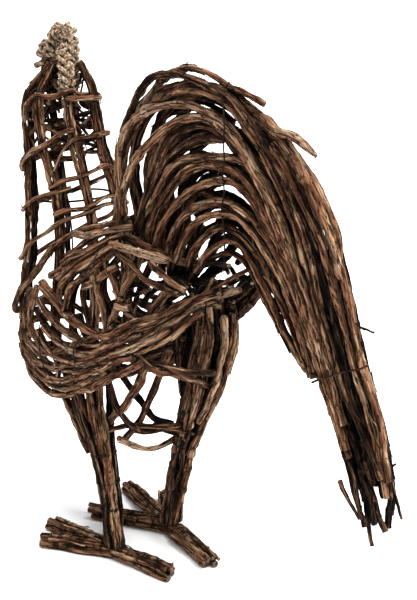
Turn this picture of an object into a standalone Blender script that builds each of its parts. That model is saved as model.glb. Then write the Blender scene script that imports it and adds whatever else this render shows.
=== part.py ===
"""Wicker rooster figure: vine rods bent, bundled and tied into a standing cock.

Metres, +Z up. The rooster faces -Y, its tail hangs towards +Y and its left side is +X.
Routes are drawn from the point on the ground between its legs, and each one is then shifted so
that the middle of the figure's plan is the origin.
"""

import math
import random

import bmesh
import bpy
from mathutils import Vector

# Whole figure
FIGURE_NAME = "wicker_rooster"
PLAN_CENTRE = Vector((0.0055, 0.0871, 0.0))
GAP = 0.0003

# Rods
ROD_SIDES = 6
THIN_ROD_SIDES = 4
THIN_ROD_RADIUS = 0.0056
TAIL_ROD_RADIUS = 0.0064
RING_ROD_RADIUS = 0.0060
HOOP_ROD_RADIUS = 0.0048
WEAVE_ROD_RADIUS = 0.0050
STAVE_ROD_RADIUS = 0.0042
PAIR_MIDDLE = 0.94
BREAST_ROD_RADIUS = 0.0056
TIE_WIRE_RADIUS = 0.0014

# Tail: the fan's inner and outer edge in the middle plane (back, up), its half spread sideways,
# how far it is gathered into a tight bundle, and how thick the rods are there
TAIL_ROWS = 4
TAIL_LANES = 5
TAIL_GUIDES = (
    ((0.074, 0.372), (0.020, 0.388), 0.028, 1.0, 0.90),
    ((0.108, 0.422), (-0.004, 0.468), 0.042, 0.1, 0.95),
    ((0.128, 0.456), (-0.010, 0.556), 0.036, 0.0, 1.00),
    ((0.154, 0.476), (0.040, 0.635), 0.026, 0.0, 1.00),
    ((0.188, 0.478), (0.116, 0.656), 0.022, 0.0, 1.00),
    ((0.224, 0.454), (0.212, 0.619), 0.023, 0.0, 1.00),
    ((0.262, 0.406), (0.298, 0.552), 0.026, 0.15, 1.00),
    ((0.292, 0.360), (0.348, 0.458), 0.028, 0.6, 1.00),
    ((0.315, 0.332), (0.373, 0.358), 0.029, 1.0, 0.98),
    ((0.358, 0.254), (0.414, 0.274), 0.029, 1.0, 0.82),
    ((0.388, 0.176), (0.440, 0.190), 0.029, 1.0, 0.56),
)
TAIL_ROW_SHARES = (0.02, 0.40, 0.64, 0.80)
TAIL_ROW_SPANS = (0.34, 0.21, 0.21, 0.26)
TAIL_LANE_STEPS = (0.0, 0.50, 0.17, 0.67, 0.33)
TAIL_ROOT_RAGGED = 0.030
TAIL_TIP_RAGGED = 0.055
TAIL_PACKING = 0.985
TAIL_STEPS = 10
TAIL_TIE_STATION = 8
TAIL_STUB_SHARE = 1.03
TAIL_STUB_STATIONS = (2, 7)
TAIL_STUB_LIFT = Vector((0.004, 0.020, 0.030))
TAIL_STUB_SPAN = (0.30, 0.93)
TAIL_STUB_THICKNESS = (0.85, 1.15)
TAIL_STUB_STEPS = 9
TAIL_TIE_STEPS = 20
TAIL_TIE_PROUD = TIE_WIRE_RADIUS * 0.6

# Binder of the tail's root: across as a share of the fan's half width, then back and up as shares
# of the way from the fan's outer edge to its inner edge
BINDER_STATION = 1
BINDER_GUIDES = (
    (0.98, 0.02, 0.35),
    (1.00, 0.40, 0.35),
    (0.80, 0.90, 0.60),
    (0.00, 1.09, 0.91),
    (-0.80, 0.92, 0.50),
    (-1.00, 0.40, 0.30),
    (-0.98, 0.02, 0.26),
)
BINDER_STEPS = 12

# Neck cage: height, middle, half length fore and aft, half width
NECK_LEVELS = (
    (0.262, -0.144, 0.073, 0.072),
    (0.330, -0.138, 0.075, 0.077),
    (0.400, -0.131, 0.067, 0.069),
    (0.470, -0.137, 0.062, 0.061),
    (0.530, -0.151, 0.053, 0.052),
    (0.585, -0.159, 0.048, 0.047),
    (0.608, -0.157, 0.045, 0.044),
    (0.632, -0.150, 0.030, 0.029),
    (0.650, -0.147, 0.017, 0.017),
)
NECK_STAVES = 8
STAVE_STEPS = 6
STAVE_TOP_THICKNESS = (0.62, 0.90)
STAVE_FOOT_Z = 0.262
SIDE_STAVE_FOOT_Z = 0.296
STAVE_TOP_Z = 0.650
SHORT_STAVE_TOP_Z = 0.608
HOOP_HEIGHTS = (0.600, 0.542, 0.484, 0.424)
HOOP_DROPS = (0.006, 0.024, 0.026, 0.042)
HOOP_LOW_HEADING = 35.0
HOOP_TURNS = 1.04
HOOP_GUIDES = 14
HOOP_STEPS = 15
HOOP_FIRST_HEADING = 150.0
HOOP_HEADING_STEP = 70.0
COLLAR_HEIGHT = 0.374
COLLAR_DROP = 0.074
COLLAR_HEADING = 160.0
COLLAR_OVER_RINGS = 0.0066

# Body skin: an egg lying fore and aft, on which the rings and breast rods run
BODY_FRONT_Y = -0.232
BODY_REAR_Y = 0.238
BODY_MIDDLE_Z = 0.325
BODY_BITE = 0.0012
BODY_HALF_WIDTH = NECK_LEVELS[1][3] + STAVE_ROD_RADIUS + RING_ROD_RADIUS - BODY_BITE
BODY_HALF_HEIGHT = 0.190
FRONT_ROUNDNESS = 2.7
REAR_ROUNDNESS = 2.6

# Rings of the body: the inner and the outer ring of each side, seen from that side (back, up)
RINGS_PER_SIDE = 4
RING_GUIDES = (
    ((0.050, 0.424), (0.020, 0.478)),
    ((-0.010, 0.416), (-0.066, 0.442)),
    ((-0.068, 0.386), (-0.164, 0.378)),
    ((-0.112, 0.350), (-0.215, 0.300)),
    ((-0.088, 0.322), (-0.212, 0.222)),
    ((-0.010, 0.322), (-0.150, 0.192)),
    ((0.064, 0.346), (0.000, 0.260)),
    ((0.142, 0.396), (0.118, 0.334)),
    ((0.236, 0.453), (0.198, 0.388)),
)
RING_STEPS = 14
BREAST_ROD_HEIGHTS = (0.268, 0.226)
BREAST_ROD_END_Y = 0.020
BREAST_ROD_RISE = 0.050
BREAST_STEPS = 10
BREAST_STATIONS = 4

# Legs, from the foot to the thigh: across as a share of the body's half width, back, up, and the
# half width of the bundle
LEG_LEFT = (
    (0.67, 0.007, 0.016, 0.0145),
    (0.69, 0.000, 0.095, 0.0150),
    (0.70, -0.014, 0.165, 0.0190),
    (0.60, -0.042, 0.215, 0.0280),
    (0.52, -0.050, 0.275, 0.0260),
)
LEG_RIGHT = (
    (-0.48, 0.007, 0.016, 0.0145),
    (-0.53, 0.019, 0.085, 0.0150),
    (-0.61, 0.034, 0.160, 0.0190),
    (-0.67, 0.058, 0.225, 0.0260),
    (-0.68, 0.080, 0.300, 0.0290),
    (-0.62, 0.090, 0.362, 0.0260),
)
LEG_TWIGS = 6
LEG_STEPS = 5

# Feet: where each toe heads, in degrees from straight ahead towards the left, and how long it is
TOE_HALF_WIDTH = 0.0110
TOE_HEIGHT = 0.0190
TOE_ROOT = 0.012
KEEL_THICKNESS = (0.80, 1.0, 1.05, 1.0, 0.86)
TOE_THICKNESS = (0.85, 1.0, 0.98, 0.84)
TOES_LEFT = {
    "middle": (8.0, 0.126),
    "back": (188.0, 0.100),
    "outer": (30.0, 0.116),
    "inner": (-37.0, 0.090),
}
TOES_RIGHT = {
    "middle": (-15.0, 0.150),
    "back": (167.0, 0.118),
    "outer": (-38.0, 0.104),
    "inner": (25.0, 0.128),
}

# Belly twigs: share of the way from the left leg to the right, then how far left, back and up
BELLY_LEG_STATION = 2
BELLY_STEPS = 8
BELLY_ROUTES = {
    "belly_loop_low": (
        (0.0, 0.004, 0.010, -0.006),
        (0.5, 0.012, 0.016, -0.026),
        (0.5, -0.016, 0.018, -0.026),
        (1.0, -0.004, 0.008, 0.000),
    ),
    "belly_loop_high": (
        (0.0, 0.010, -0.012, 0.012),
        (0.5, 0.010, -0.008, -0.002),
        (0.5, -0.020, -0.006, 0.006),
        (1.0, -0.008, -0.008, 0.032),
    ),
}
BELLY_CROSS_GUIDES = ((0.5, 0.000, -0.006, 0.010), (1.0, 0.004, -0.010, 0.012))
BELLY_CROSS_SAG = Vector((0.0, 0.010, 0.0))
BELLY_CROSS_SHARE = 0.45

# Head
BEAK_LENGTH = 0.062
BEAK_ROOT_FROM_CROWN = (-0.003, 0.002)
BEAK_DROP = 0.016
BEAK_RADII = (0.0048, 0.0034)
COMB_RADIUS = 0.0105
COMB_KNOTS = 7
COMB_SWAY = 0.0030
COMB_FROM_CROWN = (
    (-0.046, 0.005),
    (-0.035, 0.024),
    (-0.013, 0.037),
    (0.009, 0.036),
    (0.023, 0.018),
    (0.027, -0.008),
    (0.037, -0.036),
)
WATTLE_RADIUS = 0.0065
WATTLE_KNOTS = 5
WATTLE_FROM_CROWN = ((-0.049, -0.022), (-0.064, -0.048), (-0.066, -0.076), (-0.062, -0.102))

# Colours: red, green, blue, roughness and metallic
FINISHES = {
    "vine_bark": (0.145, 0.082, 0.048, 0.85, 0.0),
    "jute_rope": (0.42, 0.33, 0.22, 0.95, 0.0),
    "steel_wire": (0.05, 0.045, 0.04, 0.45, 0.9),
}

pieces = []


def clear_scene():
    for thing in list(bpy.data.objects):
        bpy.data.objects.remove(thing, do_unlink=True)


def make_collection(name):
    collection = bpy.data.collections.new(name)
    bpy.context.scene.collection.children.link(collection)
    return collection


def make_finish(name):
    red, green, blue, roughness, metallic = FINISHES[name]
    finish = bpy.data.materials.new(name)
    finish.use_nodes = True
    shader = finish.node_tree.nodes["Principled BSDF"]
    shader.inputs["Base Color"].default_value = (red, green, blue, 1.0)
    shader.inputs["Roughness"].default_value = roughness
    shader.inputs["Metallic"].default_value = metallic
    return finish


def mix(a, b, share):
    return a + (b - a) * share


def sample(rows, key, column):
    """The value of one column where the first column is key, by straight lines between the rows."""
    if key <= rows[0][0]:
        return rows[0][column]
    for low, high in zip(rows, rows[1:]):
        if key <= high[0]:
            return mix(low[column], high[column], (key - low[0]) / (high[0] - low[0]))
    return rows[-1][column]


def smooth_route(points, steps, start=0.0, end=1.0):
    """Evenly spaced points, from start to end as shares of the length, on a curve through the points.

    A fourth value in each point, such as a rod's radius there, is carried along with it.
    """
    guides = [Vector(p) for p in points]
    guides = [guides[0] * 2 - guides[1]] + guides + [guides[-1] * 2 - guides[-2]]
    fine = []
    spans = len(guides) - 3
    divisions = 12
    for i in range(1, spans + 1):
        before, here, there, after = guides[i - 1:i + 3]
        step_in = math.sqrt((here - before).length)
        step = math.sqrt((there - here).length)
        step_out = math.sqrt((after - there).length)
        leave = (there - here) + step * ((here - before) / step_in - (there - before) / (step_in + step))
        reach = (there - here) + step * ((after - there) / step_out - (after - here) / (step + step_out))
        for k in range(divisions):
            t = k / divisions
            fine.append(
                here * (2 * t**3 - 3 * t**2 + 1)
                + leave * (t**3 - 2 * t**2 + t)
                + there * (3 * t**2 - 2 * t**3)
                + reach * (t**3 - t**2)
            )
    fine.append(guides[-2])
    lengths = [0.0]
    for a, b in zip(fine, fine[1:]):
        lengths.append(lengths[-1] + (b - a).length)
    route = []
    k = 0
    for step in range(steps + 1):
        wanted = lengths[-1] * mix(start, end, step / steps)
        while k < len(lengths) - 2 and lengths[k + 1] < wanted:
            k += 1
        route.append(fine[k].lerp(fine[k + 1], (wanted - lengths[k]) / (lengths[k + 1] - lengths[k])))
    return route


def close_mesh(source, name):
    """A closed mesh from an evaluated object, its loose caps welded on."""
    depsgraph = bpy.context.evaluated_depsgraph_get()
    mesh = bpy.data.meshes.new_from_object(source.evaluated_get(depsgraph))
    mesh.name = name
    shape = bmesh.new()
    shape.from_mesh(mesh)
    bmesh.ops.remove_doubles(shape, verts=shape.verts, dist=0.00002)
    bmesh.ops.recalc_face_normals(shape, faces=shape.faces)
    shape.to_mesh(mesh)
    shape.free()
    return mesh


def rod_mesh(name, route, radii, closed=False):
    """A round rod: a curve with a bevel, made a mesh."""
    curve = bpy.data.curves.new(name + "_route", "CURVE")
    curve.dimensions = "3D"
    curve.bevel_depth = radii[0]
    sides = THIN_ROD_SIDES if max(radii) < THIN_ROD_RADIUS else ROD_SIDES
    curve.bevel_resolution = (sides - 4) // 2
    curve.use_fill_caps = not closed
    spline = curve.splines.new("POLY")
    spline.points.add(len(route) - 1)
    spline.use_cyclic_u = closed
    for point, place, radius in zip(spline.points, route, radii):
        point.co = (*(place - PLAN_CENTRE), 1.0)
        point.radius = radius / radii[0]
    source = bpy.data.objects.new(name + "_route", curve)
    bpy.context.scene.collection.objects.link(source)
    mesh = close_mesh(source, name)
    bpy.data.objects.remove(source, do_unlink=True)
    bpy.data.curves.remove(curve)
    return mesh


def bundle_mesh(name, route, radii, outline, sideways):
    """A bundle of twigs: a loft of one lobed outline, which sideways(place) turns and radii scale."""
    shape = bmesh.new()
    rings = []
    for i, (place, radius) in enumerate(zip(route, radii)):
        along = (route[min(i + 1, len(route) - 1)] - route[max(i - 1, 0)]).normalized()
        side = sideways(place)
        side = (side - along * side.dot(along)).normalized()
        up = along.cross(side)
        middle = place - PLAN_CENTRE
        rings.append([shape.verts.new(middle + (side * a + up * b) * radius) for a, b in outline])
    for lower, upper in zip(rings, rings[1:]):
        for k in range(len(outline)):
            m = (k + 1) % len(outline)
            shape.faces.new((lower[k], lower[m], upper[m], upper[k]))
    shape.faces.new(rings[0])
    shape.faces.new(rings[-1])
    bmesh.ops.recalc_face_normals(shape, faces=shape.faces)
    mesh = bpy.data.meshes.new(name)
    shape.to_mesh(mesh)
    shape.free()
    return mesh


def twig_outline(count):
    """Twigs packed round a middle, out to a radius of one, with a notch between each two."""
    outline = []
    for k in range(count):
        for turn, reach in ((-0.28, 0.97), (0.28, 0.97), (0.5, 0.80)):
            angle = 2 * math.pi * (k + turn) / count
            outline.append((reach * math.cos(angle), reach * math.sin(angle)))
    return outline


def pair_outline():
    """Two rods side by side, each with a radius of one."""
    outline = []
    for side in (1.0, -1.0):
        for turn in (-100, -34, 34, 100):
            angle = math.radians(turn)
            outline.append((side * (PAIR_MIDDLE + math.cos(angle)), side * math.sin(angle)))
    return outline


def toe_outline():
    """Three twigs side by side on a flat sole, across and up, in toe heights."""
    right = ((0.38, 0.80), (0.72, 0.82), (1.0, 0.42), (0.92, 0.0))
    left = tuple((-across, up) for across, up in reversed(right))
    narrow = TOE_HALF_WIDTH / TOE_HEIGHT
    return [(across * narrow, up) for across, up in (*left, (0.0, 1.0), *right)]


def add_piece(name, finish, route, radii, make):
    """Keep a piece's route and recipe, so that later pieces can be fitted against it."""
    pieces.append({"name": name, "finish": finish, "route": route, "radii": radii, "make": make})


def add_rod(name, route, radii, finish="vine_bark", closed=False):
    add_piece(name, finish, route, radii, lambda label, grown: rod_mesh(label, route, grown, closed))


def add_bundle(name, route, radii, outline, sideways, reach=1.0):
    add_piece(name, "vine_bark", route, [r * reach for r in radii],
              lambda label, grown: bundle_mesh(label, route, [g / reach for g in grown], outline, sideways))


def tapered(first, last, count, from_share=0.0):
    """Radii that hold to a share of the length and then run down to the last one."""
    radii = []
    for k in range(count):
        share = max(0.0, k / (count - 1) - from_share) / (1 - from_share)
        radii.append(mix(first, last, share))
    return radii


def body_half_width(back, up):
    """How far the body's skin stands from the middle plane."""
    middle = (BODY_FRONT_Y + BODY_REAR_Y) / 2
    reach = (back - middle) / ((BODY_REAR_Y - BODY_FRONT_Y) / 2)
    roundness = FRONT_ROUNDNESS if reach < 0 else REAR_ROUNDNESS
    across = max(0.02, 1 - abs(reach) ** roundness) ** (1 / roundness)
    height = (up - BODY_MIDDLE_Z) / BODY_HALF_HEIGHT
    return BODY_HALF_WIDTH * across * math.sqrt(max(0.1, 1 - height * height))


def neck_point(heading, up, proud=0.0):
    """A point on the neck cage: heading 0 is in front and 90 on the left, proud of the staves' middle."""
    turn = math.radians(heading)
    middle = sample(NECK_LEVELS, up, 1)
    half_length = sample(NECK_LEVELS, up, 2) + proud
    half_width = sample(NECK_LEVELS, up, 3) + proud
    return Vector((half_width * math.sin(turn), middle - half_length * math.cos(turn), up))


def plan_direction(heading):
    turn = math.radians(heading)
    return Vector((math.sin(turn), -math.cos(turn), 0.0))


def make_foot(side, ankle, toes):
    """A keel of the middle and back toes under the leg, and two toes beside it."""
    ground = leg_point(ankle)
    ground.z = 0.0
    back = plan_direction(toes["back"][0]) * toes["back"][1]
    front = plan_direction(toes["middle"][0]) * toes["middle"][1]
    keel = [ground + back, ground + back * 0.5, ground, ground + front * 0.5, ground + front]
    add_toe(side + "_foot_keel", keel, KEEL_THICKNESS, Vector((1.0, 0.0, 0.0)))
    for which in ("outer", "inner"):
        heading, length = toes[which]
        direction = plan_direction(heading)
        toe = [ground + direction * TOE_ROOT, ground + direction * length]
        add_toe(side + "_toe_" + which, toe, TOE_THICKNESS, plan_direction(heading + 90.0))


def add_toe(name, guides, thickness, across):
    route = smooth_route(guides, len(thickness) - 1)
    add_bundle(name, route, [TOE_HEIGHT * t for t in thickness], toe_outline(), lambda place: across)


def leg_point(station):
    across, back, up, _ = station
    return Vector((across * BODY_HALF_WIDTH, back, up))


def make_leg(side, stations):
    measured = smooth_route([(*leg_point(station), station[3]) for station in stations], LEG_STEPS)
    route = [place.to_3d() for place in measured]
    radii = [place.w for place in measured]
    across = Vector((1.0, 0.0, 0.0))
    add_bundle(side + "_leg", route, radii, twig_outline(LEG_TWIGS), lambda place: across)


def make_rings(side, sign):
    """Nested hoops from the tail's root over the shoulder, round the breast and back along the flank."""
    for k in range(RINGS_PER_SIDE):
        share = k / (RINGS_PER_SIDE - 1)
        guides = []
        for inner, outer in RING_GUIDES:
            back = mix(inner[0], outer[0], share)
            up = mix(inner[1], outer[1], share)
            guides.append((sign * body_half_width(back, up), back, up))
        route = smooth_route(guides, RING_STEPS)
        radii = tapered(RING_ROD_RADIUS * 0.92, RING_ROD_RADIUS, RING_STEPS + 1)
        add_rod("%s_body_ring_%d" % (side, k + 1), route, radii)


def make_breast_rods():
    """Rods from flank to flank round the front of the body, outside its rings."""
    proud = RING_ROD_RADIUS + BREAST_ROD_RADIUS * 0.8
    for k, height in enumerate(BREAST_ROD_HEIGHTS):
        guides = []
        for i in range(-BREAST_STATIONS, BREAST_STATIONS + 1):
            reach = abs(i) / BREAST_STATIONS
            back = mix(BODY_FRONT_Y, BREAST_ROD_END_Y, reach ** 1.7)
            up = height + BREAST_ROD_RISE * reach ** 2
            across = math.copysign(body_half_width(back, up) + proud, i) if i else 0.0
            guides.append((across, back - proud * (1 - reach), up))
        route = smooth_route(guides, BREAST_STEPS)
        add_rod("breast_rod_%d" % (k + 1), route, [BREAST_ROD_RADIUS] * (BREAST_STEPS + 1))


def make_staves():
    """Pairs of rods up the neck; those in front and behind run on to the crown."""
    outline = pair_outline()
    for k in range(NECK_STAVES):
        heading = 360.0 * (k + 0.5) / NECK_STAVES
        long_stave = abs(math.cos(math.radians(heading))) > 0.7
        foot = STAVE_FOOT_Z if long_stave else SIDE_STAVE_FOOT_Z
        top = STAVE_TOP_Z if long_stave else SHORT_STAVE_TOP_Z
        heights = [foot] + [level[0] for level in NECK_LEVELS if foot < level[0] < top] + [top]
        guides = [neck_point(heading, height) for height in heights]
        route = smooth_route(guides, STAVE_STEPS)
        top_radius = STAVE_ROD_RADIUS * STAVE_TOP_THICKNESS[0 if long_stave else 1]
        radii = tapered(STAVE_ROD_RADIUS, top_radius, STAVE_STEPS + 1, 0.5)
        tangent = plan_direction(heading + 90.0)
        add_bundle("neck_stave_%d" % (k + 1), route, radii, outline, lambda place, t=tangent: t, 2.0)


def make_hoop(name, middle_height, drop, start_heading, proud, proud_in_front=0.0):
    """A rod wound once round the staves, low in front on the left, its ends crossing one above the other."""
    guides = []
    rise = 2 * HOOP_ROD_RADIUS + 4 * GAP
    for i in range(HOOP_GUIDES + 1):
        share = i / HOOP_GUIDES
        heading = start_heading + 360.0 * HOOP_TURNS * share
        up = middle_height - drop * math.cos(math.radians(heading - HOOP_LOW_HEADING)) + rise * (share - 0.5)
        forward = max(0.0, math.cos(math.radians(heading)))
        guides.append(neck_point(heading, up, proud + proud_in_front * forward))
    route = smooth_route(guides, HOOP_STEPS)
    add_rod(name, route, tapered(HOOP_ROD_RADIUS, HOOP_ROD_RADIUS * 0.8, HOOP_STEPS + 1))


def make_hoops():
    proud = STAVE_ROD_RADIUS + HOOP_ROD_RADIUS * 0.96
    for k, (height, drop) in enumerate(zip(HOOP_HEIGHTS, HOOP_DROPS)):
        make_hoop("neck_hoop_%d" % (k + 1), height, drop, HOOP_FIRST_HEADING + HOOP_HEADING_STEP * k, proud)
    make_hoop("neck_collar", COLLAR_HEIGHT, COLLAR_DROP, COLLAR_HEADING, proud, COLLAR_OVER_RINGS)


def tail_guide(station, row, lane):
    """Where one rod passes a station: spread in the fan, or packed in the bundle, or between the two."""
    inner, outer, spread, gathered, thickness = TAIL_GUIDES[station]
    near = Vector((0.0, *inner))
    far = Vector((0.0, *outer))
    share = TAIL_ROW_SHARES[row] + TAIL_ROW_SPANS[row] * TAIL_LANE_STEPS[lane]
    middle_lane = (TAIL_LANES - 1) / 2
    fan = near.lerp(far, share)
    fan.x = spread * (lane - middle_lane) / middle_lane
    pitch = 2 * TAIL_ROD_RADIUS * thickness * TAIL_PACKING
    rank = row + (lane % 2) / 2 - (TAIL_ROWS - 0.5) / 2
    packed = near.lerp(far, 0.5) + (far - near).normalized() * rank * pitch
    packed.x = (lane - middle_lane) * pitch * math.cos(math.radians(30.0))
    return (*fan.lerp(packed, gathered), TAIL_ROD_RADIUS * thickness)


def make_tail():
    """Rods from the back of the body, fanned out over the arch, tied, and hanging to ragged ends."""
    chance = random.Random(11)
    for row in range(TAIL_ROWS):
        for lane in range(TAIL_LANES):
            guides = [tail_guide(station, row, lane) for station in range(len(TAIL_GUIDES))]
            root = chance.uniform(0.0, TAIL_ROOT_RAGGED)
            tip = 1.0 - chance.uniform(0.0, 1.0) ** 1.5 * TAIL_TIP_RAGGED * 2
            measured = smooth_route(guides, TAIL_STEPS, root, tip)
            route = [place.to_3d() for place in measured]
            add_rod("tail_rod_%d" % (row * TAIL_LANES + lane + 1), route, [place.w for place in measured])


def make_tail_stub():
    """A thick rod that lies on the arch and breaks off short behind it."""
    guides = []
    for inner, outer, spread, *_ in TAIL_GUIDES[slice(*TAIL_STUB_STATIONS)]:
        guides.append(Vector((spread / 2, *inner)).lerp(Vector((spread / 2, *outer)), TAIL_STUB_SHARE))
    guides[-1] += TAIL_STUB_LIFT
    route = smooth_route(guides, TAIL_STUB_STEPS, *TAIL_STUB_SPAN)
    thin, thick = TAIL_STUB_THICKNESS
    radii = tapered(TAIL_ROD_RADIUS * thin, TAIL_ROD_RADIUS * thick, TAIL_STUB_STEPS + 1)
    add_rod("tail_stub", route, radii)


def make_tail_tie():
    """Wire round the bundle, just clear of its outermost rods."""
    inner, outer, _, _, thickness = TAIL_GUIDES[TAIL_TIE_STATION]
    middle = (Vector((0.0, *inner)) + Vector((0.0, *outer))) / 2
    radial = (Vector((0.0, *outer)) - Vector((0.0, *inner))).normalized()
    pitch = 2 * TAIL_ROD_RADIUS * thickness * TAIL_PACKING
    around = TAIL_ROD_RADIUS + TAIL_TIE_PROUD
    half_wide = (TAIL_LANES - 1) / 2 * pitch * math.cos(math.radians(30.0)) + around
    half_deep = (TAIL_ROWS - 0.5) / 2 * pitch + around
    route = []
    for k in range(TAIL_TIE_STEPS):
        turn = 2 * math.pi * k / TAIL_TIE_STEPS
        across = math.cos(turn)
        out = math.sin(turn)
        swell = (abs(across) ** 3 + abs(out) ** 3) ** (-1 / 3)
        offset = radial * half_deep * out * swell
        offset.x = half_wide * across * swell
        route.append(middle + offset)
    add_rod("tail_tie_wire", route, [TIE_WIRE_RADIUS] * TAIL_TIE_STEPS, "steel_wire", closed=True)


def make_binder():
    """A rod that lashes the tail's root."""
    inner, outer, spread, _, thickness = TAIL_GUIDES[BINDER_STATION]
    wide = spread + TAIL_ROD_RADIUS * thickness + WEAVE_ROD_RADIUS * 0.8
    guides = []
    for across, back, up in BINDER_GUIDES:
        guides.append((wide * across, mix(outer[0], inner[0], back), mix(outer[1], inner[1], up)))
    route = smooth_route(guides, BINDER_STEPS)
    add_rod("tail_root_binder", route, [WEAVE_ROD_RADIUS * 1.1] * (BINDER_STEPS + 1))


def make_belly_twigs():
    """Loops between the legs under the belly, and a rod across from the left flank to the right leg."""
    left = leg_point(LEG_LEFT[BELLY_LEG_STATION])
    right = leg_point(LEG_RIGHT[BELLY_LEG_STATION])
    radii = [WEAVE_ROD_RADIUS] * (BELLY_STEPS + 1)
    for name, guides in BELLY_ROUTES.items():
        places = [left.lerp(right, share) + Vector(offset) for share, *offset in guides]
        add_rod(name, smooth_route(places, BELLY_STEPS), radii)
    before, after = RING_GUIDES[6][1], RING_GUIDES[7][1]
    flank_back = mix(before[0], after[0], BELLY_CROSS_SHARE)
    flank_up = mix(before[1], after[1], BELLY_CROSS_SHARE)
    flank = Vector((body_half_width(flank_back, flank_up) - RING_ROD_RADIUS, flank_back, flank_up))
    places = [flank, flank.lerp((left + right) / 2, 0.5) + BELLY_CROSS_SAG]
    places += [left.lerp(right, share) + Vector(offset) for share, *offset in BELLY_CROSS_GUIDES]
    add_rod("belly_cross_rod", smooth_route(places, BELLY_STEPS), radii)


def knotted(radius, knots, steps):
    """Radii of a knotted rope, thick at each knot and thin between."""
    radii = []
    for k in range(steps + 1):
        swell = 0.5 - 0.5 * math.cos(2 * math.pi * knots * k / steps)
        radii.append(radius * mix(0.74, 1.0, swell))
    return radii


def make_beak():
    """Two twigs side by side that stick out in front of the crown."""
    crown = crown_point(*BEAK_ROOT_FROM_CROWN)
    tip = crown + Vector((0.0, -BEAK_LENGTH, -BEAK_DROP))
    across = Vector((1.0, 0.0, 0.0))
    radii = tapered(*BEAK_RADII, 4)
    add_bundle("beak", smooth_route((crown, tip), 3), radii, pair_outline(), lambda place: across, 2.0)


def crown_point(back, up):
    crown_up, crown_back, _, _ = NECK_LEVELS[-1]
    return Vector((0.0, crown_back + back, crown_up + up))


def make_rope(name, guides, radius, knots, sway=0.0):
    """A knotted rope in the middle plane, swaying to left and right from knot to knot."""
    steps = knots * 2
    route = smooth_route([crown_point(*guide) for guide in guides], steps)
    for k, place in enumerate(route):
        place.x = sway * math.sin(math.pi * k / 2)
    add_rod(name, route, knotted(radius, knots, steps), "jute_rope")


def nearly_touch(first, second):
    reach = max(first["radii"]) + max(second["radii"]) + GAP
    for a, b in zip(first["route"], first["route"][1:]):
        for c, d in zip(second["route"], second["route"][1:]):
            if ((a + b) / 2 - (c + d) / 2).length > reach + ((a - b).length + (c - d).length) / 2:
                continue
            if segment_distance(a, b, c, d) < reach:
                return True
    return False


def segment_distance(a, b, c, d):
    """The shortest way between two straight pieces, by sliding along each in turn."""
    on_first = (a + b) / 2
    for _ in range(6):
        on_second = nearest_on(on_first, c, d)
        on_first = nearest_on(on_second, a, b)
    return (on_first - on_second).length


def nearest_on(point, start, end):
    along = end - start
    share = max(0.0, min(1.0, (point - start).dot(along) / along.length_squared))
    return start + along * share


def largest_body(mesh):
    """Drop the crumbs that a cut leaves, and keep the one long body."""
    shape = bmesh.new()
    shape.from_mesh(mesh)
    bmesh.ops.triangulate(shape, faces=shape.faces)
    left = set(shape.faces)
    bodies = []
    while left:
        stack = [left.pop()]
        body = list(stack)
        while stack:
            face = stack.pop()
            for edge in face.edges:
                for other in edge.link_faces:
                    if other in left:
                        left.remove(other)
                        body.append(other)
                        stack.append(other)
        bodies.append(body)
    bodies.sort(key=lambda body: -abs(sum(
        face.verts[0].co.dot(face.verts[1].co.cross(face.verts[2].co)) for face in body)))
    for body in bodies[1:]:
        bmesh.ops.delete(shape, geom=body, context="FACES")
    shape.to_mesh(mesh)
    shape.free()


def build_pieces(kept, cutters, finishes):
    """Make each piece, cut back where an earlier one lies against it."""
    cuts = 0
    for k, piece in enumerate(pieces):
        mesh = piece["make"](piece["name"], piece["radii"])
        thing = bpy.data.objects.new(piece["name"], mesh)
        kept.objects.link(thing)
        piece["object"] = thing
        neighbours = [other for other in pieces[:k] if nearly_touch(piece, other)]
        for other in neighbours:
            grow = GAP / math.cos(math.pi / ROD_SIDES)
            cutter_mesh = other["make"](other["name"] + "_clearance", [r + grow for r in other["radii"]])
            cutter = bpy.data.objects.new(cutter_mesh.name, cutter_mesh)
            cutters.objects.link(cutter)
            cutter.hide_render = True
            cutter.display_type = "WIRE"
            cut = thing.modifiers.new("clear_of_" + other["name"], "BOOLEAN")
            cut.operation = "DIFFERENCE"
            cut.solver = "EXACT"
            cut.object = cutter
            cuts += 1
        if neighbours:
            fitted = close_mesh(thing, piece["name"])
            thing.modifiers.clear()
            thing.data = fitted
            largest_body(fitted)
        thing.data.materials.clear()
        thing.data.materials.append(finishes[piece["finish"]])
        thing.data.shade_smooth()
        thing.data.set_sharp_from_angle(angle=math.radians(50.0))
    for cutter in list(cutters.objects):
        bpy.data.objects.remove(cutter, do_unlink=True)
    print("fitted", len(pieces), "pieces with", cuts, "cuts")


def main():
    clear_scene()
    kept = make_collection(FIGURE_NAME)
    cutters = make_collection("cutters")
    finishes = {name: make_finish(name) for name in FINISHES}
    make_foot("left", LEG_LEFT[0], TOES_LEFT)
    make_foot("right", LEG_RIGHT[0], TOES_RIGHT)
    make_rings("left", 1)
    make_rings("right", -1)
    make_leg("left", LEG_LEFT)
    make_leg("right", LEG_RIGHT)
    make_breast_rods()
    make_staves()
    make_hoops()
    make_tail()
    make_tail_stub()
    make_tail_tie()
    make_binder()
    make_belly_twigs()
    make_beak()
    make_rope("rope_comb", COMB_FROM_CROWN, COMB_RADIUS, COMB_KNOTS, COMB_SWAY)
    make_rope("rope_wattle", WATTLE_FROM_CROWN, WATTLE_RADIUS, WATTLE_KNOTS)
    build_pieces(kept, cutters, finishes)


main()
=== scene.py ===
import math
import random

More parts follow.
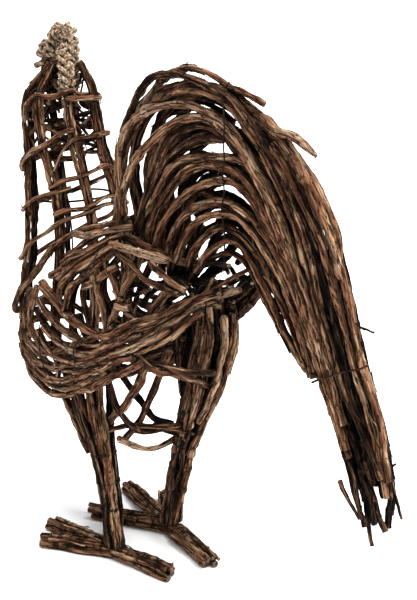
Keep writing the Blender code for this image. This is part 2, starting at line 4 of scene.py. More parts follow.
import bpy
import numpy as np
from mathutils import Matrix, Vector


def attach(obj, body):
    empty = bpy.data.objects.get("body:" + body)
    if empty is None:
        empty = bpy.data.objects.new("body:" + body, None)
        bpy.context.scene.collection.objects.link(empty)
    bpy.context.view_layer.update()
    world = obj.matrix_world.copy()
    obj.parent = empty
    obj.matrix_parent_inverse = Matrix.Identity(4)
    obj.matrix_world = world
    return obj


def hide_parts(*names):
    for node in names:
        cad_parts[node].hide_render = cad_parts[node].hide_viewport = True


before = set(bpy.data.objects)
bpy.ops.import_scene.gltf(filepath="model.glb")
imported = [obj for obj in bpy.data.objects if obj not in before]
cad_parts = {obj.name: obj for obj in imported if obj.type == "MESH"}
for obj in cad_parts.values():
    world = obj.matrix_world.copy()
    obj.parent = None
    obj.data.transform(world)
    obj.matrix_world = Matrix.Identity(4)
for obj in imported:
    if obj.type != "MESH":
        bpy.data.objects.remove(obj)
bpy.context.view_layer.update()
print("frame loaded")

# Routes are written in metres from the ground between the legs, as the solids' own sizes are:
# across to the figure's left, back towards the tail, and up. They are shifted when they are meshed.
planCentre = np.array((0.0055, 0.0871, 0.0))
floorGap = 0.0004
fullTurn = 2 * math.pi
askew = (0.31, 0.17, 0.93)      # a direction that no strand keeps to
chance = random.Random(5)


# Light and camera

studio = {
    "cameraPlace": (0.994, 1.196, 0.856),
    "azimuth": 137.0,
    "pitch": 18.0,
    "lens": 75.0,
    "sensor": 36.0,
    "photoSize": (417.0, 600.0),
    "floorColour": (0.92, 0.92, 0.92, 1.0),
    "floorReach": 30.0,
    "floorRoughness": 0.9,
    "worldColour": (1.0, 1.0, 1.0, 1.0),
    "worldStrength": 0.58,
    "suns": {                   # strength, angle in degrees, where it shines from
        "key": (6.0, 36.0, (-0.05, 0.45, 1.45)),
        "rim": (2.1, 14.0, (-0.50, 1.00, 0.55)),
    },
}


def towardsCamera():
    turn, pitch = math.radians(studio["azimuth"]), math.radians(studio["pitch"])
    return np.array((math.sin(turn) * math.cos(pitch), -math.cos(turn) * math.cos(pitch), math.sin(pitch)))


# Places on the near side are named by where the photograph shows them, in its pixels.

def seen(across, right, down):                # the place so far to the left that shows there
    turn = math.radians(studio["azimuth"])
    aside = np.array((math.cos(turn), math.sin(turn), 0.0))
    back = towardsCamera()
    wide, high = studio["photoSize"]
    reach = studio["lens"] / studio["sensor"] * high
    ray = aside * (right - wide / 2) + np.cross(back, aside) * (high / 2 - down) - back * reach
    camera = np.array(studio["cameraPlace"])
    return camera + ray * (across - camera[0]) / ray[0]


def shown(*places):                           # a route through such places, to the millimetre
    return [np.round(seen(*place), 3) for place in places]


def newObject(name, data):
    made = bpy.data.objects.new(name, data)
    bpy.context.scene.collection.objects.link(made)
    return made


# Nodes written as sums

class Sock:                                   # an output of a node
    def __init__(self, patch, socket):
        self.patch = patch
        self.socket = socket

    def __add__(self, other):
        return self.patch.maths("ADD", self, other)

    __radd__ = __add__

    def __sub__(self, other):
        return self.patch.maths("SUBTRACT", self, other)

    def __rsub__(self, other):
        return self.patch.maths("SUBTRACT", other, self)

    def __mul__(self, other):
        return self.patch.maths("MULTIPLY", self, other)

    __rmul__ = __mul__

    def __truediv__(self, other):
        return self.patch.maths("DIVIDE", self, other)


class Patch:                                  # a node tree that nodes are added to
    def __init__(self, tree):
        self.tree = tree

    def feed(self, made, sockets):
        for key, value in sockets.items():
            if isinstance(value, Sock):
                self.tree.links.new(value.socket, made.inputs[key])
            else:
                made.inputs[key].default_value = value

    def node(self, kind, settings=None, sockets=None, out=0):
        made = self.tree.nodes.new(kind)
        for name, value in (settings or {}).items():
            if name == "stops":
                self.setStops(made.color_ramp.elements, value)
            else:
                setattr(made, name, value)
        self.feed(made, sockets or {})
        return Sock(self, made.outputs[out]) if made.outputs else None

    def setStops(self, elements, stops):      # places along a ramp, and the colours there
        while len(elements) < len(stops):
            elements.new(0.5)
        for element, (place, colour) in zip(elements, stops):
            element.position = place
            element.color = (*colour, 1.0)

    def maths(self, operation, a, b=0.0, clamp=False):
        return self.node("ShaderNodeMath", {"operation": operation, "use_clamp": clamp}, {0: a, 1: b})

    def vector(self, operation, a, b=(0.0, 0.0, 0.0), out=0, **more):
        return self.node("ShaderNodeVectorMath", {"operation": operation}, {0: a, 1: b, **more}, out)

    def attribute(self, name, out=2):         # a number, or with 1 a place
        return self.node("ShaderNodeAttribute", {"attribute_name": name}, out=out)

    def store(self, geometry, name, value, kind="FLOAT"):
        return self.node("GeometryNodeStoreNamedAttribute", {"data_type": kind},
                         {"Geometry": geometry, "Name": name, "Value": value})

    # Noise on a strand. The scale along the strand is the stretch times the scale across it.
    def grain(self, place, stretch, scale, detail=3.0, roughness=0.55, distortion=0.0, out=0):
        return self.node("ShaderNodeTexNoise", sockets={
            "Vector": self.vector("MULTIPLY", place, (1.0, 1.0, stretch)), "Scale": scale,
            "Detail": detail, "Roughness": roughness, "Distortion": distortion}, out=out)

    def plates(self, place, feature, out):    # cells as of cracked bark
        return self.node("ShaderNodeTexVoronoi", {"feature": feature}, {"Vector": place, "Scale": 1.0}, out)

    def step(self, value, low, high):         # 0 below low, 1 above high
        return self.node("ShaderNodeMapRange", sockets={0: value, 1: low, 2: high, 3: 0.0, 4: 1.0})

    def shaded(self, value, least):           # from least to 1 as the value goes from 0 to 1
        return value * (1.0 - least) + least

    def ramp(self, factor, stops):
        return self.node("ShaderNodeValToRGB", {"stops": stops}, {0: factor})

    def blend(self, factor, a, b):            # a colour between two others
        a, b = (colour if isinstance(colour, Sock) else (*colour, 1.0) for colour in (a, b))
        return self.node("ShaderNodeMix", {"data_type": "RGBA"}, {"Factor": factor, 6: a, 7: b}, out=2)

    def bump(self, height, strength, depth):
        return self.node("ShaderNodeBump", sockets={
            "Strength": strength, "Distance": depth, "Height": height})


def mixed(sources, shares):                   # the sum of the sources, each times its share
    return sum(source * share for source, share in zip(sources, shares))


def newMaterial(name):
    material = bpy.data.materials.new(name)
    material.use_nodes = True
    return material, Patch(material.node_tree), material.node_tree.nodes["Principled BSDF"]


# Finishes. A grain is given by its stretch along the strand, scale, detail, roughness and distortion.

barkFinish = {
    "strings": (0.045, 420.0, 3.0, 0.6, 0.3),
    "chips": (0.22, 300.0, 3.0, 0.65, 0.4),
    "broad": (0.2, 60.0, 2.0, 0.5),
    "seams": (0.085, 230.0, 2.0, 0.6, 0.5),   # long dark cracks
    "seamWidth": (0.010, 0.040),
    "seamShade": 0.06,
    "warp": (0.25, 150.0, 2.0, 0.5),
    "plateWarp": 1.1,
    "plateSize": (200.0, 200.0, 24.0),        # plates in a metre: round the rod twice, and along it
    "plateGap": (0.01, 0.06),
    "plateShade": 0.40,
    "closedPower": 2.0,
    "closedPaintedShade": 0.025,                     # painted shade, where other rods lie close over the bark
    "shares": (1.15, 1.5, 0.36, 0.85, 0.74, 0.7),    # strings, ridges, plates, chips, tone, broad
    "middle": 0.50,
    "colours": (                              # groove, shade, body, ridge and pale
        (0.02, (0.0030, 0.0015, 0.0009)), (0.26, (0.028, 0.0120, 0.0062)),
        (0.50, (0.112, 0.0515, 0.0262)), (0.76, (0.300, 0.166, 0.084)), (1.0, (0.56, 0.410, 0.262))),
    "red": {"colour": (0.135, 0.040, 0.022), "tone": 0.6, "span": (0.72, 1.02), "share": 0.5},
    "grey": {"colour": (0.170, 0.128, 0.098), "broad": 0.4, "span": (-0.16, 0.10), "share": 0.35},
    "wood": {"shade": (0.070, 0.038, 0.021), "colour": (0.300, 0.200, 0.118), "span": (0.35, 0.62)},
    "bumpShares": (0.6, 0.5, 0.3, 0.5),       # strings, seams, plate gaps, chips
    "bump": (1.0, 0.0016),
    "rough": (0.95, 0.2),
    "gloss": 0.06,
}


def makeBark(name, look):
    material, patch, shader = newMaterial(name)
    place = patch.attribute("barkPlace", 1)
    ridges, tone, cut = (patch.attribute(label) for label in ("ridges", "tone", "cut"))
    # painted shade: the bark colour is darkened where other strands lie close over it
    openness = patch.maths("POWER", patch.attribute("openness"), look["closedPower"])
    strings, chips, broad, seams = (
        patch.grain(place, *look[label]) for label in ("strings", "chips", "broad", "seams"))
    seams = patch.step(patch.maths("ABSOLUTE", seams - 0.5), *look["seamWidth"])
    warp = patch.vector("SCALE", patch.grain(place, *look["warp"], out=1), Scale=look["plateWarp"])
    plated = patch.vector("ADD", patch.vector("MULTIPLY", place, look["plateSize"]), warp)
    gaps = patch.step(patch.plates(plated, "DISTANCE_TO_EDGE", 0), *look["plateGap"])
    plate = patch.plates(plated, "F1", 1)
    # the seams and plate gaps are the bark's own cracks; the third factor is the painted shade
    edge = patch.shaded(seams, look["seamShade"]) * patch.shaded(gaps, look["plateShade"]) \
        * patch.shaded(openness, look["closedPaintedShade"])
    marks = (strings, ridges, plate, chips, tone, broad)
    lit = patch.maths("ADD", mixed([mark - 0.5 for mark in marks], look["shares"]), look["middle"], True)
    colour = patch.ramp(lit, look["colours"])
    red, grey, wood = look["red"], look["grey"], look["wood"]
    reddened = patch.step(tone * red["tone"] + broad, *red["span"])
    colour = patch.blend(reddened * red["share"], colour, red["colour"])
    weathered = patch.step(tone * -1.0 + broad * grey["broad"], *grey["span"])
    colour = patch.blend(weathered * grey["share"] * lit, colour, grey["colour"])
    cutFace = patch.blend(patch.step(chips, *wood["span"]), wood["shade"], wood["colour"])
    colour = patch.vector("SCALE", patch.blend(cut, colour, cutFace), Scale=edge)
    patch.feed(shader, {
        "Base Color": colour, "Roughness": look["rough"][0] - lit * look["rough"][1],
        "Normal": patch.bump(mixed((strings, seams, gaps, chips), look["bumpShares"]), *look["bump"]),
        "Specular IOR Level": look["gloss"]})
    return material


ropeFinish = {
    "fibres": (0.2, 850.0, 3.0, 0.65, 0.6),
    "plyMiddle": 0.6,
    "shares": (0.75, 1.6),                    # plies, fibres
    "middle": 0.52,
    "colours": (                              # shade, body and light
        (0.05, (0.024, 0.013, 0.008)), (0.50, (0.205, 0.134, 0.082)), (0.95, (0.58, 0.445, 0.315))),
    # the least share of the colour kept in the painted shade between strands
    "closedPaintedShade": 0.08,
    "bump": (0.8, 0.0008),
    "rough": 0.95,
    "gloss": 0.1,
}


def makeRope(name, look):
    material, patch, shader = newMaterial(name)
    fibres = patch.grain(patch.attribute("barkPlace", 1), *look["fibres"])
    plies = patch.attribute("ridges") - look["plyMiddle"]
    lit = patch.maths("ADD", mixed((plies, fibres - 0.5), look["shares"]), look["middle"], True)
    # painted shade where other strands lie close over the rope
    closed = patch.shaded(patch.attribute("openness"), look["closedPaintedShade"])
    patch.feed(shader, {
        "Base Color": patch.vector("SCALE", patch.ramp(lit, look["colours"]), Scale=closed),
        "Normal": patch.bump(fibres, *look["bump"]), "Roughness": look["rough"],
        "Specular IOR Level": look["gloss"]})
    return material


steelFinish = {
    "rust": (1.0, 700.0, 3.0, 0.6),
    "colours": (
        (0.38, (0.006, 0.0035, 0.0022)), (0.60, (0.014, 0.008, 0.005)), (0.78, (0.055, 0.024, 0.012))),
    "rough": (0.5, 0.4),
    "gloss": 0.05,
}


def makeSteel(name, look):
    material, patch, shader = newMaterial(name)
    rust = patch.grain(patch.attribute("barkPlace", 1), *look["rust"])
    patch.feed(shader, {
        "Base Color": patch.ramp(rust, look["colours"]), "Specular IOR Level": look["gloss"],
        "Roughness": rust * look["rough"][0] + look["rough"][1]})
    return material


bark = makeBark("vine_bark", barkFinish)
jute = makeRope("jute_rope", ropeFinish)
steel = makeSteel("black_steel_wire", steelFinish)
print("materials made")


# Sweep: strands grown along lines and roughened

sweepInputs = (
    ("Sides", "Int"), ("Lobe depth", "Float"), ("Ridge depth", "Float"), ("Chip depth", "Float"),
    ("Ply depth", "Float"), ("Ply pitch", "Float"), ("Finish", "Material"))
shadeInputs = (("Others", "Object"), ("Shade reach", "Float"), ("Finish", "Material"))

sweepLook = {
    "lobes": (0.10, 170.0, 1.0),
    "ridges": (0.05, 330.0, 2.0, 0.55, 0.2),
    "chips": (0.40, 210.0, 1.0),
    "plyMiddle": 0.7,
    "rays": 5,                  # rays from each place that look for other strands
    "rayLean": 1.5,
    "rayLift": 0.0009,
}


def newTree(name, inputs):
    tree = bpy.data.node_groups.new(name, "GeometryNodeTree")
    face = tree.interface
    face.new_socket("Geometry", in_out="INPUT", socket_type="NodeSocketGeometry")
    for label, kind in inputs:
        face.new_socket(label, in_out="INPUT", socket_type="NodeSocket" + kind)
    face.new_socket("Geometry", in_out="OUTPUT", socket_type="NodeSocketGeometry")
    patch = Patch(tree)
    entry = patch.node("NodeGroupInput").socket.node
    return patch, {socket.name: Sock(patch, socket) for socket in entry.outputs if socket.name}


def endTree(patch, strand, finish):
    strand = patch.node("GeometryNodeRealizeInstances", sockets={"Geometry": strand})
    strand = patch.node("GeometryNodeSetMaterial", sockets={"Geometry": strand, "Material": finish})
    patch.node("NodeGroupOutput", sockets={0: strand})
    return patch.tree


def makeSweepTree(look):
    patch, given = newTree("strand_sweep", sweepInputs)

    def named(name):
        return patch.node("GeometryNodeInputNamedAttribute", {"data_type": "FLOAT"}, {"Name": name})

    line = patch.node("GeometryNodeMeshToCurve", sockets={"Mesh": given["Geometry"]})
    circle = patch.node("GeometryNodeCurvePrimitiveCircle", {"mode": "RADIUS"},
                        {"Resolution": given["Sides"], "Radius": 1.0})
    index = patch.node("GeometryNodeInputIndex")
    circle = patch.store(circle, "turn", index / given["Sides"] * fullTurn)
    strand = patch.node("GeometryNodeCurveToMesh", sockets={
        "Curve": line, "Profile Curve": circle, "Scale": named("thick"), "Fill Caps": True})
    turn, thick, along = named("turn"), named("thick"), named("along")
    place = patch.node("ShaderNodeCombineXYZ", sockets={
        0: patch.maths("COSINE", turn) * thick, 1: patch.maths("SINE", turn) * thick, 2: along})
    strand = patch.store(strand, "barkPlace", place, "FLOAT_VECTOR")
    lobes, ridges, chips = (patch.grain(place, *look[label]) for label in ("lobes", "ridges", "chips"))
    plies = patch.maths("ABSOLUTE", patch.maths("SINE", turn + along / given["Ply pitch"] * math.pi))
    plied = patch.maths("GREATER_THAN", given["Ply depth"], 0.0)
    strand = patch.store(strand, "ridges", patch.node(
        "ShaderNodeMix", {"data_type": "FLOAT"}, {0: plied, 2: ridges, 3: plies}))
    rise = mixed((lobes - 0.5, ridges - 0.5, chips - 0.5),
                 (given["Lobe depth"], given["Ridge depth"], given["Chip depth"]))
    rise = rise * ((1.0 - named("cut")) * named("shag")) + (plies - look["plyMiddle"]) * given["Ply depth"]
    offset = patch.vector("SCALE", patch.node("GeometryNodeInputNormal"), Scale=rise)
    strand = patch.node("GeometryNodeSetPosition", sockets={"Geometry": strand, "Offset": offset})
    height = patch.node("ShaderNodeSeparateXYZ", sockets={0: patch.node("GeometryNodeInputPosition")}, out=2)
    under = patch.maths("MAXIMUM", floorGap - height, 0.0)     # lifts what would go into the floor
    strand = patch.node("GeometryNodeSetPosition", sockets={
        "Geometry": strand, "Offset": patch.node("ShaderNodeCombineXYZ", sockets={2: under})})
    strand = patch.node("GeometryNodeSetShadeSmooth", sockets={"Geometry": strand})
    return endTree(patch, strand, given["Finish"])


def openShare(patch, mesh, reach, look):      # how much of the space over a place is free of other strands; it sets the painted shade
    normal = patch.node("GeometryNodeInputNormal")
    lift = patch.vector("SCALE", normal, Scale=look["rayLift"])
    start = patch.vector("ADD", patch.node("GeometryNodeInputPosition"), lift)
    side = patch.vector("NORMALIZE", patch.vector("CROSS_PRODUCT", normal, askew))
    up = patch.vector("CROSS_PRODUCT", normal, side)
    total = 0.0
    for k in range(look["rays"]):
        turn = fullTurn * k / look["rays"]
        lean = patch.vector("ADD", patch.vector("SCALE", side, Scale=look["rayLean"] * math.cos(turn)),
                            patch.vector("SCALE", up, Scale=look["rayLean"] * math.sin(turn)))
        hit = patch.node("GeometryNodeRaycast", sockets={
            "Target Geometry": mesh, "Source Position": start, "Ray Length": reach,
            "Ray Direction": patch.vector("ADD", normal, lean)})
        far = Sock(patch, hit.socket.node.outputs["Hit Distance"])
        total = total + (1.0 - hit * (1.0 - far / reach))
    return total * (1.0 / look["rays"])


def makeShadeTree(look):                      # marks how open each place is, among the strands of all pieces, for the painted shade
    patch, given = newTree("strand_shade", shadeInputs)
    others = patch.node("GeometryNodeObjectInfo", sockets={"Object": given["Others"]}, out=4)
    openness = openShare(patch, others, given["Shade reach"], look)
    return endTree(patch, patch.store(given["Geometry"], "openness", openness), given["Finish"])


sweepTree = makeSweepTree(sweepLook)
shadeTree = makeShadeTree(sweepLook)
print("trees made")

sweepLabels = ("Sides", "Lobe depth", "Ridge depth", "Chip depth", "Ply depth", "Ply pitch", "Shade reach",
               "Finish")
sweeps = {                                    # what the sweep is given for each kind of strand
    "rod": (18, 0.0054, 0.0046, 0.0040, 0.0, 1.0, 0.045, bark),
    "bundle": (18, 0.0050, 0.0046, 0.0042, 0.0, 1.0, 0.026, bark),
    "twig": (12, 0.0032, 0.0028, 0.0022, 0.0, 1.0, 0.035, bark),
    "strip": (4, 0.0, 0.0008, 0.0, 0.0, 1.0, 0.040, bark),
    "rope": (10, 0.0, 0.0, 0.0, 0.0010, 0.0065, 0.01, jute),
    "wire": (6, 0.0, 0.0, 0.0, 0.0, 1.0, 0.01, steel),
}


def grow(piece, tree, kind, others=None):     # the piece's mesh as the tree makes it
    given = {"Others": others, **dict(zip(sweepLabels, sweeps[kind]))}
    growth = piece.modifiers.new("growth", "NODES")
    growth.node_group = tree
    for item in tree.interface.items_tree:
        if item.in_out == "INPUT" and item.name in given:
            growth[item.identifier] = given[item.name]
    depsgraph = bpy.context.evaluated_depsgraph_get()
    made = bpy.data.meshes.new_from_object(
        piece.evaluated_get(depsgraph), preserve_all_data_layers=True, depsgraph=depsgraph)
    piece.modifiers.remove(growth)
    piece.data = made
    made.name = piece.name


pieces = []                                   # each piece, its kind, and the solids it stands for


def sweep(name, kind, strands, nodes=(), slot="vine_bark"):    # one mesh from all the strands of a piece
    points = np.vstack([strand["route"] for strand in strands]) - planCentre
    edges = []
    first = 0
    for strand in strands:
        count = len(strand["route"])
        edges += [(first + k, first + k + 1) for k in range(count - 1)]
        if strand["closed"]:
            edges.append((first + count - 1, first))
        first += count
    mesh = bpy.data.meshes.new(name)
    mesh.from_pydata(points.tolist(), edges, [])
    for key in ("thick", "along", "tone", "cut", "shag"):
        values = np.concatenate([strand[key] for strand in strands]).astype(np.float32)
        mesh.attributes.new(key, "FLOAT", "POINT").data.foreach_set("value", values)
    piece = newObject(name, mesh)
    grow(piece, sweepTree, kind)
    pieces.append((piece, kind, nodes, slot))
    print(name, len(strands), "strands")


def gathered(items, field, kind):             # one field of all items, three numbers to a row
    values = np.empty(len(items) * 3, kind)
    items.foreach_get(field, values)
    return values.reshape(-1, 3)


def shadePieces():                            # every piece against a copy of all of them, for the painted shade
    corners, faces = [], []
    first = 0
    for piece, _, _, _ in pieces:
        mesh = piece.data
        mesh.calc_loop_triangles()
        corners.append(gathered(mesh.vertices, "co", np.float32))
        faces.append(gathered(mesh.loop_triangles, "vertices", np.int32) + first)
        first += len(mesh.vertices)
    copy = bpy.data.meshes.new("all_strands")
    copy.from_pydata(np.vstack(corners).tolist(), [], np.vstack(faces).tolist())
    others = newObject("all_strands", copy)
    print("all pieces", len(copy.polygons), "triangles")
    for piece, kind, _, _ in pieces:
        grow(piece, shadeTree, kind, others)
    bpy.data.objects.remove(others)
    bpy.data.meshes.remove(copy)


def ridePieces():
    for piece, _, nodes, slot in pieces:
        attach(piece, "root")
        if nodes:
            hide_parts(*nodes)
        print(piece.name, len(piece.data.polygons), "faces")


# Routes and strands

curveLook = {
    "steps": 20,                # fine steps between two guides
    "leastStep": 1e-4,
    "leastPoints": 4,
}


# Evenly spaced rows on a smooth curve through the guides. Columns after the third ride along.

def smoothRoute(guides, spacing, start=0.0, end=1.0):
    guides = np.array(guides, float)
    guides = np.vstack([2 * guides[0] - guides[1], guides, 2 * guides[-1] - guides[-2]])
    fine = []
    t = np.linspace(0.0, 1.0, curveLook["steps"], endpoint=False)[:, None]
    for before, here, there, after in zip(guides, guides[1:], guides[2:], guides[3:]):
        stepIn, step, stepOut = (max(curveLook["leastStep"], math.sqrt(np.linalg.norm(leg[:3])))
                                 for leg in (here - before, there - here, after - there))
        leave = (there - here) + step * ((here - before) / stepIn - (there - before) / (stepIn + step))
        reach = (there - here) + step * ((after - there) / stepOut - (after - here) / (step + stepOut))
        fine.append(here * (2 * t**3 - 3 * t**2 + 1) + leave * (t**3 - 2 * t**2 + t)
                    + there * (3 * t**2 - 2 * t**3) + reach * (t**3 - t**2))
    fine.append(guides[-2:-1])
    fine = np.vstack(fine)
    lengths = measured(fine[:, :3])
    count = max(curveLook["leastPoints"], round((end - start) * lengths[-1] / spacing) + 1)
    wanted = np.linspace(start, end, count) * lengths[-1]
    return np.column_stack([np.interp(wanted, lengths, column) for column in fine.T])


def measured(route):                          # the length of a line up to each of its points
    return np.concatenate([[0.0], np.cumsum(np.linalg.norm(np.diff(route, axis=0), axis=1))])


vineLook = {
    "spacing": 0.0044,
    "wander": 0.0012,
    "wanderWaves": (0.05, 0.15),
    "swell": 0.07,              # slow change of thickness
    "swellWaves": (0.03, 0.07),
    "knotSpacing": (0.06, 0.16),
    "knotSwell": (0.10, 0.32),
    "knotLength": 0.0045,
    "endRing": 0.0006,          # from the cut face to the first ring with bark
    "endThickness": 0.9,
    "toneSpread": 0.15,
    "offsets": (0.0, 40.0),     # where on the bark a strand begins
}


def wander(lengths, size):                    # a slow random drift in three directions
    drift = np.zeros((len(lengths), 3))
    for axis in range(3):
        for _ in range(2):
            wave = chance.uniform(*vineLook["wanderWaves"])
            drift[:, axis] += math.sqrt(0.5) * size * np.sin(fullTurn * (lengths / wave + chance.random()))
    return drift


def strand(route, thick, cut=None, tone=None, shag=1.0, closed=False):
    count = len(route)
    spread = vineLook["toneSpread"]
    tone = chance.random() if tone is None else tone + chance.uniform(-spread, spread)
    return {"route": route, "thick": thick, "along": measured(route) + chance.uniform(*vineLook["offsets"]),
            "cut": np.zeros(count) if cut is None else cut, "tone": np.full(count, tone),
            "shag": np.full(count, shag), "closed": closed}


def shortStep(here, there):
    return (there - here) / np.linalg.norm(there - here) * vineLook["endRing"]


# One rod with knots, drift and cut ends. A fourth value in each guide is its share of the radius.

def vine(guides, radius, start=0.0, end=1.0, tip=0.85, tone=None, wild=1.0, shag=1.0):
    look = vineLook
    rows = smoothRoute(guides, look["spacing"], start, end)
    lengths = measured(rows[:, :3])
    route = rows[:, :3] + wander(lengths, look["wander"] * wild)
    thick = radius * np.linspace(1.0, tip, len(rows)) * (rows[:, 3] if rows.shape[1] > 3 else 1.0)
    wave = chance.uniform(*look["swellWaves"])
    thick = thick * (1 + look["swell"] * np.sin(fullTurn * (lengths / wave + chance.random())))
    knot = chance.uniform(0.0, look["knotSpacing"][1])
    while knot < lengths[-1]:
        thick = thick * (1 + chance.uniform(*look["knotSwell"]) * np.exp(
            -((lengths - knot) / look["knotLength"]) ** 2))
        knot += chance.uniform(*look["knotSpacing"])
    first, last = shortStep(route[0], route[1]), shortStep(route[-2], route[-1])
    route = np.vstack([route[0], route[0] + first, route[1:-1], route[-1] - last, route[-1]])
    thick = np.concatenate([[thick[0] * look["endThickness"]], thick, [thick[-1] * look["endThickness"]]])
    cut = np.zeros(len(route))
    cut[[0, -1]] = 1.0
    return strand(route, thick, cut, tone, shag)


def plain(guides, radius, spacing=0.003, closed=False):    # a smooth strand, such as a wire
    route = smoothRoute(guides, spacing)[:-1 if closed else None, :3]
    return strand(route, np.full(len(route), radius), closed=closed)


# Twigs listed one by one: each has its radius, its route, and sometimes a tone of its own.

def byHand(twigs, tone=None, wild=1.0):
    return [vine(guides, radius, tone=(*own, tone)[0], wild=wild) for radius, guides, *own in twigs.values()]


def frames(route):                            # two directions across a line, turning as little as they can
    along = np.gradient(route, axis=0)
    along /= np.linalg.norm(along, axis=1)[:, None]
    side = np.cross(along[0], askew)
    sides = []
    for direction in along:
        side = side - direction * np.dot(side, direction)
        side /= np.linalg.norm(side)
        sides.append(side)
    sides = np.array(sides)
    return sides, np.cross(along, sides)


def around(route, picked, turn, reach):       # places round a line, at the picked lengths along it
    lengths = measured(route)
    sides, ups = frames(route)
    middle, side, up = (np.column_stack([np.interp(picked, lengths, column) for column in rows.T])
                        for rows in (route, sides, ups))
    return middle + (side * np.cos(turn)[:, None] + up * np.sin(turn)[:, None]) * reach[:, None]


windingLook = {
    "radius": 0.0006,
    "spacing": 0.0028,
    "leastPoints": 12,
    "driftWaves": 2.3,
    "proud": 0.0003,
}


# A thin wire wound round a line, from start to end as shares of its length.

def wound(route, half, turns, start, end, uneven=0.0):
    look = windingLook
    length = abs(turns) * 2 * math.pi * float(np.mean(half))
    share = np.linspace(0.0, 1.0, max(look["leastPoints"], int(length / look["spacing"])))
    drift = share + uneven * np.sin(fullTurn * (share * look["driftWaves"] + chance.random())) / abs(turns)
    picked = measured(route)[-1] * (start + (end - start) * np.clip(drift, 0.0, 1.0))
    turn = fullTurn * (turns * share + chance.random())
    reach = np.interp(picked, measured(route), half) + look["radius"] + look["proud"]
    place = around(route, picked, turn, reach)
    place[:, 2] = np.maximum(place[:, 2], look["radius"] + look["proud"])
    return strand(place, np.full(len(place), look["radius"]))


# Bark that comes away: long strips that lie along a rod, and short splinters with a lifted end

peelLook = {
    "strip": {"perMetre": 9.0, "lengths": (0.04, 0.15), "thick": (0.0007, 0.0015), "lift": 0.0012,
              "spacing": 0.007, "turn": 0.7},
    "splinter": {"perMetre": 15.0, "lengths": (0.010, 0.034), "thick": (0.0005, 0.0013), "lift": 0.0056,
                 "spacing": 0.005, "turn": 0.3},
    "both": {"longest": 0.7, "leastPoints": 4, "taper": 0.55, "endTaper": 0.5, "lowest": 0.0014},
}


def peel(rods, kind):
    look = {**peelLook["both"], **peelLook[kind]}
    strips = []
    for rod in rods:
        lengths = measured(rod["route"])
        for _ in range(int(lengths[-1] * look["perMetre"] + chance.random())):
            size = min(chance.uniform(*look["lengths"]), lengths[-1] * look["longest"])
            share = np.linspace(0.0, 1.0, max(look["leastPoints"], int(size / look["spacing"])))
            picked = chance.uniform(0.0, lengths[-1] - size) + size * share
            if chance.random() < 0.5:
                share = share[::-1]
            turn = chance.uniform(0.0, fullTurn) + chance.uniform(-1.0, 1.0) * look["turn"] * share
            lift = chance.random() * look["lift"] * share ** 3
            place = around(rod["route"], picked, turn, np.interp(picked, lengths, rod["thick"]) + lift)
            place[:, 2] = np.maximum(place[:, 2], look["lowest"])
            thick = chance.uniform(*look["thick"]) * (1.0 - look["taper"] * share) \
                * (1.0 - look["endTaper"] * (1.0 - share) ** 6)
            strips.append(strand(place, thick, tone=float(rod["tone"][0])))
    return strips


# Tail: rods that rise from the body, arch over and hang down as one sheaf

tail = {
    "rows": 5,
    "innerRows": 2,
    "lanes": 6,
    "farLanes": 4,              # the lanes of the near side are rods of their own, below
    "radius": 0.0056,
    "thickness": (0.76, 1.10),
    "farThickness": 0.95,
    "tip": 0.95,
    "wild": 0.7,
    "packing": 0.98,
    "rankAngle": 30.0,
    "jitter": 0.018,
    "evenShares": (-0.10, 0.99),   # where the rods rise they are spread evenly, and over the arch in rows
    "inRows": (0.0, 0.0, 0.0, 0.0, 0.7, 1.0, 1.0, 1.0, 1.0, 1.0, 1.0),
    "rowShares": (-0.10, 0.05, 0.33, 0.585, 0.80),
    "rowSpans": (0.13, 0.16, 0.17, 0.15, 0.20),
    "laneSteps": (0.10, 0.55, 0.30, 0.62, 0.70, 0.35),
    "farShadeTone": -0.15,           # the rods of the far side are darker than those of the near side: painted shade
    "nearTone": 0.45,
    "toneSpread": 0.25,
    "rootRagged": 0.035,
    "tipRagged": (0.040, 0.112),
    "stations": (               # inner edge, outer edge, half spread, gathered, thickness
        ((0.074, 0.372), (0.020, 0.388), 0.028, 1.0, 0.90),
        ((0.108, 0.422), (-0.004, 0.468), 0.042, 0.1, 0.95),
        ((0.128, 0.456), (-0.010, 0.556), 0.036, 0.0, 1.00),
        ((0.154, 0.476), (0.040, 0.635), 0.026, 0.0, 1.00),
        ((0.188, 0.478), (0.116, 0.656), 0.022, 0.0, 1.00),
        ((0.224, 0.454), (0.212, 0.619), 0.023, 0.0, 1.00),
        ((0.262, 0.406), (0.296, 0.550), 0.026, 0.15, 1.00),
        ((0.292, 0.360), (0.346, 0.458), 0.028, 0.6, 1.00),
        ((0.315, 0.332), (0.372, 0.358), 0.029, 1.0, 0.98),
        ((0.356, 0.254), (0.412, 0.274), 0.029, 1.0, 0.84),
        ((0.386, 0.176), (0.438, 0.190), 0.029, 1.0, 0.66),
    ),
}


def tailFan(station, share, lane):            # share from the inner to the outer edge, lane -1 to 1 across
    inner, outer, spread, _, _ = tail["stations"][station]
    back, up = (a + (b - a) * share for a, b in zip(inner, outer))
    return np.array((spread * lane, back, up))


def tailGuide(station, row, lane, jitter):
    _, _, _, gathering, thickness = tail["stations"][station]
    middleLane = (tail["lanes"] - 1) / 2
    even = np.interp((row + tail["laneSteps"][lane]) / tail["rows"], (0.0, 1.0), tail["evenShares"])
    grouped = tail["rowShares"][row] + tail["rowSpans"][row] * tail["laneSteps"][lane]
    share = even + (grouped - even) * tail["inRows"][station] + jitter
    fan = tailFan(station, share, (lane - middleLane) / middleLane)
    near, far = tailFan(station, 0.0, 0.0), tailFan(station, 1.0, 0.0)
    pitch = 2 * tail["radius"] * thickness * tail["packing"]
    rank = row + (lane % 2) / 2 - (tail["rows"] - 0.5) / 2
    packed = (near + far) / 2 + (far - near) / np.linalg.norm(far - near) * rank * pitch
    packed[0] = (lane - middleLane) * pitch * math.cos(math.radians(tail["rankAngle"]))
    return (*(fan + (packed - fan) * gathering), thickness)


